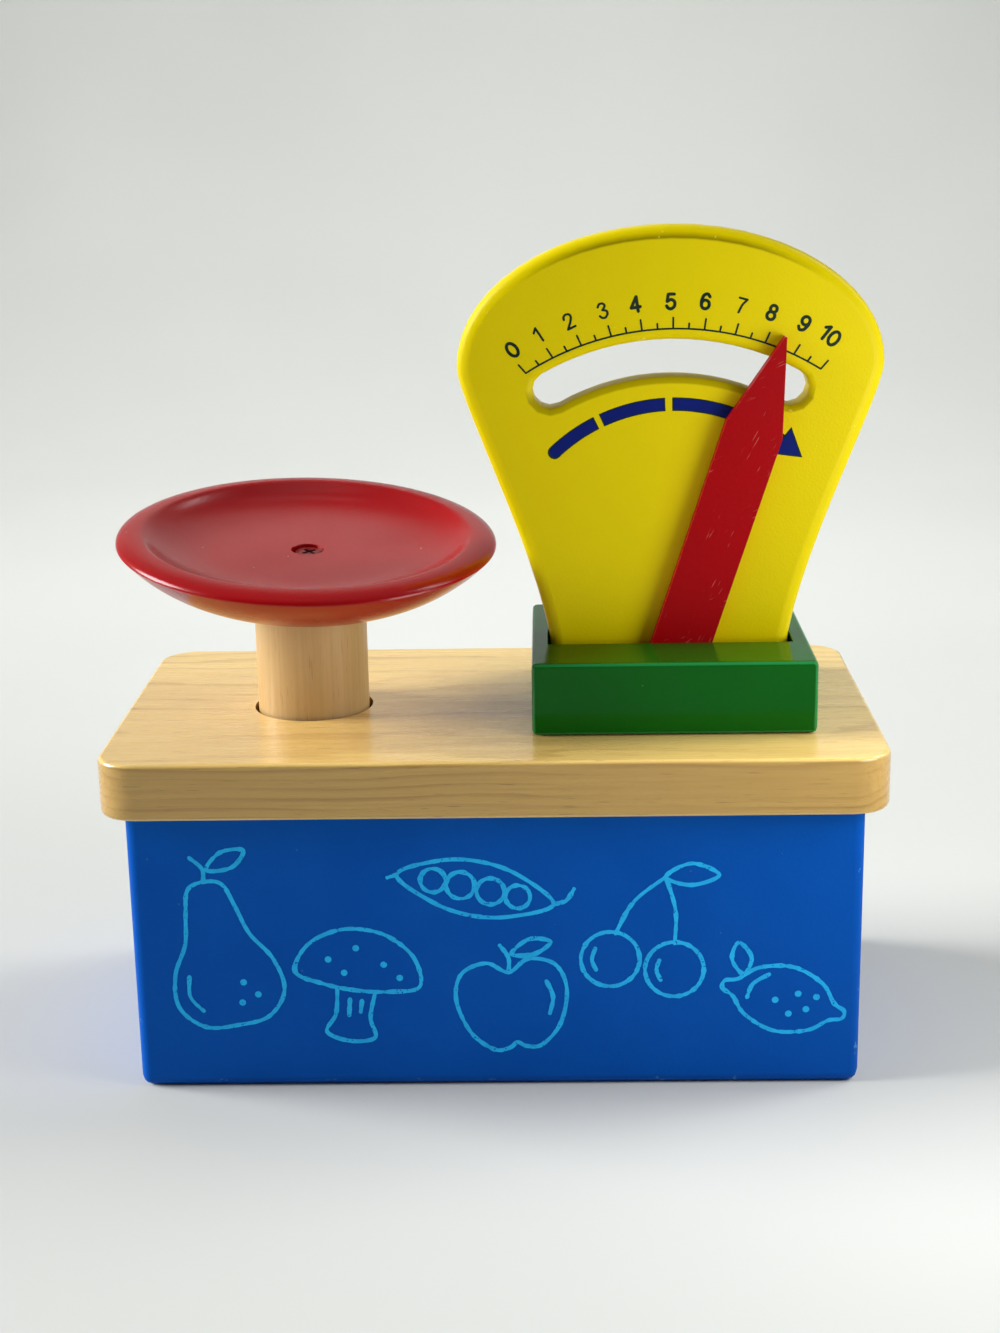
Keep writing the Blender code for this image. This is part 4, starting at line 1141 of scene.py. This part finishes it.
def make_backdrop():
    """A pale floor that bends up into a wall."""
    profile = [(FLOOR_HALF, -FLOOR_HALF, 0.0), (FLOOR_HALF, FLOOR_BACK, 0.0)]
    for i in range(1, BEND_STEPS + 1):
        angle = math.pi / 2 * i / BEND_STEPS
        y = FLOOR_BACK + BEND_RADIUS * math.sin(angle)
        profile.append((WALL_HALF, y, BEND_RADIUS * (1 - math.cos(angle))))
    profile.append((WALL_HALF, FLOOR_BACK + BEND_RADIUS, WALL_TOP))
    shape = bmesh.new()
    rows = [[shape.verts.new((x, y, z)) for x in (-half, half)] for half, y, z in profile]
    for first, second in zip(rows, rows[1:]):
        shape.faces.new((first[0], first[1], second[1], second[0]))
    backdrop = smooth_object("backdrop", shape, backdrop_paper())


def area_light(name, place, target, size, power, spread=180):
    """A square lamp that faces a target, with its spread in degrees."""
    lamp = bpy.data.lights.new(name, "AREA")
    lamp.shape = "SQUARE"
    lamp.size = size
    lamp.energy = power
    lamp.spread = math.radians(spread)
    made = add_object(name, lamp)
    made.visible_camera = False
    aim = Vector(target) - Vector(place)
    made.matrix_world = Matrix.Translation(place) @ aim.to_track_quat("-Z", "Y").to_matrix().to_4x4()


def far_light(name, place, strength, softness=0.6):
    """Even light from far away, from the side that a place lies on; softness is its width in radians."""
    lamp = bpy.data.lights.new(name, "SUN")
    lamp.energy = strength
    lamp.angle = softness
    made = add_object(name, lamp)
    made.rotation_mode = "QUATERNION"
    made.rotation_quaternion = Vector(place).to_track_quat("Z", "Y")


def make_lights():
    """Soft light from both sides, from close by at the front right, and on the wall and floor behind."""
    far_light("left_light", place=(-0.88, 0.05, 0.42), strength=5.4)
    far_light("right_light", place=(0.70, 0.35, 0.60), strength=1.9)
    area_light("wall_light", place=(0, 0.45, 1.7), target=(0, 1.4, 0.35), size=1.2, power=5.4, spread=80)
    area_light("floor_light", place=(0, 0.48, 0.9), target=(0, 0.48, 0), size=0.4, power=0.18, spread=50)
    area_light("front_light", place=(0.19, -0.13, 0.16), target=(0.05, 0, 0.13), size=0.12, power=0.29)


def make_sky():
    """The dim sky round the studio."""
    world = bpy.data.worlds.new("studio")
    bpy.context.scene.world = world
    world.use_nodes = True
    tree = world.node_tree
    way = add_node(tree, "ShaderNodeTexCoord").outputs["Generated"]
    parts = add_node(tree, "ShaderNodeSeparateXYZ", {0: way}).outputs
    rise = remap(tree, plus(tree, parts[2], parts[1]), SKY_LOW, SKY_HIGH, SKY_DIM, SKY_BRIGHT)
    height = math_node(tree, "ABSOLUTE", parts[2])
    skyline = remap(tree, height, GLOW_HALF, GLOW_END, out_low=GLOW_STRENGTH, out_high=0.0)
    sky = tree.nodes["Background"]
    sky.inputs["Color"].default_value = opaque(SKY_COLOUR)
    tree.links.new(math_node(tree, "MAXIMUM", rise, skyline), sky.inputs["Strength"])


plain_finishes()
make_box()
make_post()
make_dish()
make_dial()
make_screws()
make_spring()
make_scale_print()
make_arrow_print()
make_front_drawings()
make_backdrop()
make_lights()
make_sky()
make_camera()
bpy.context.scene.view_settings.view_transform = "Standard"
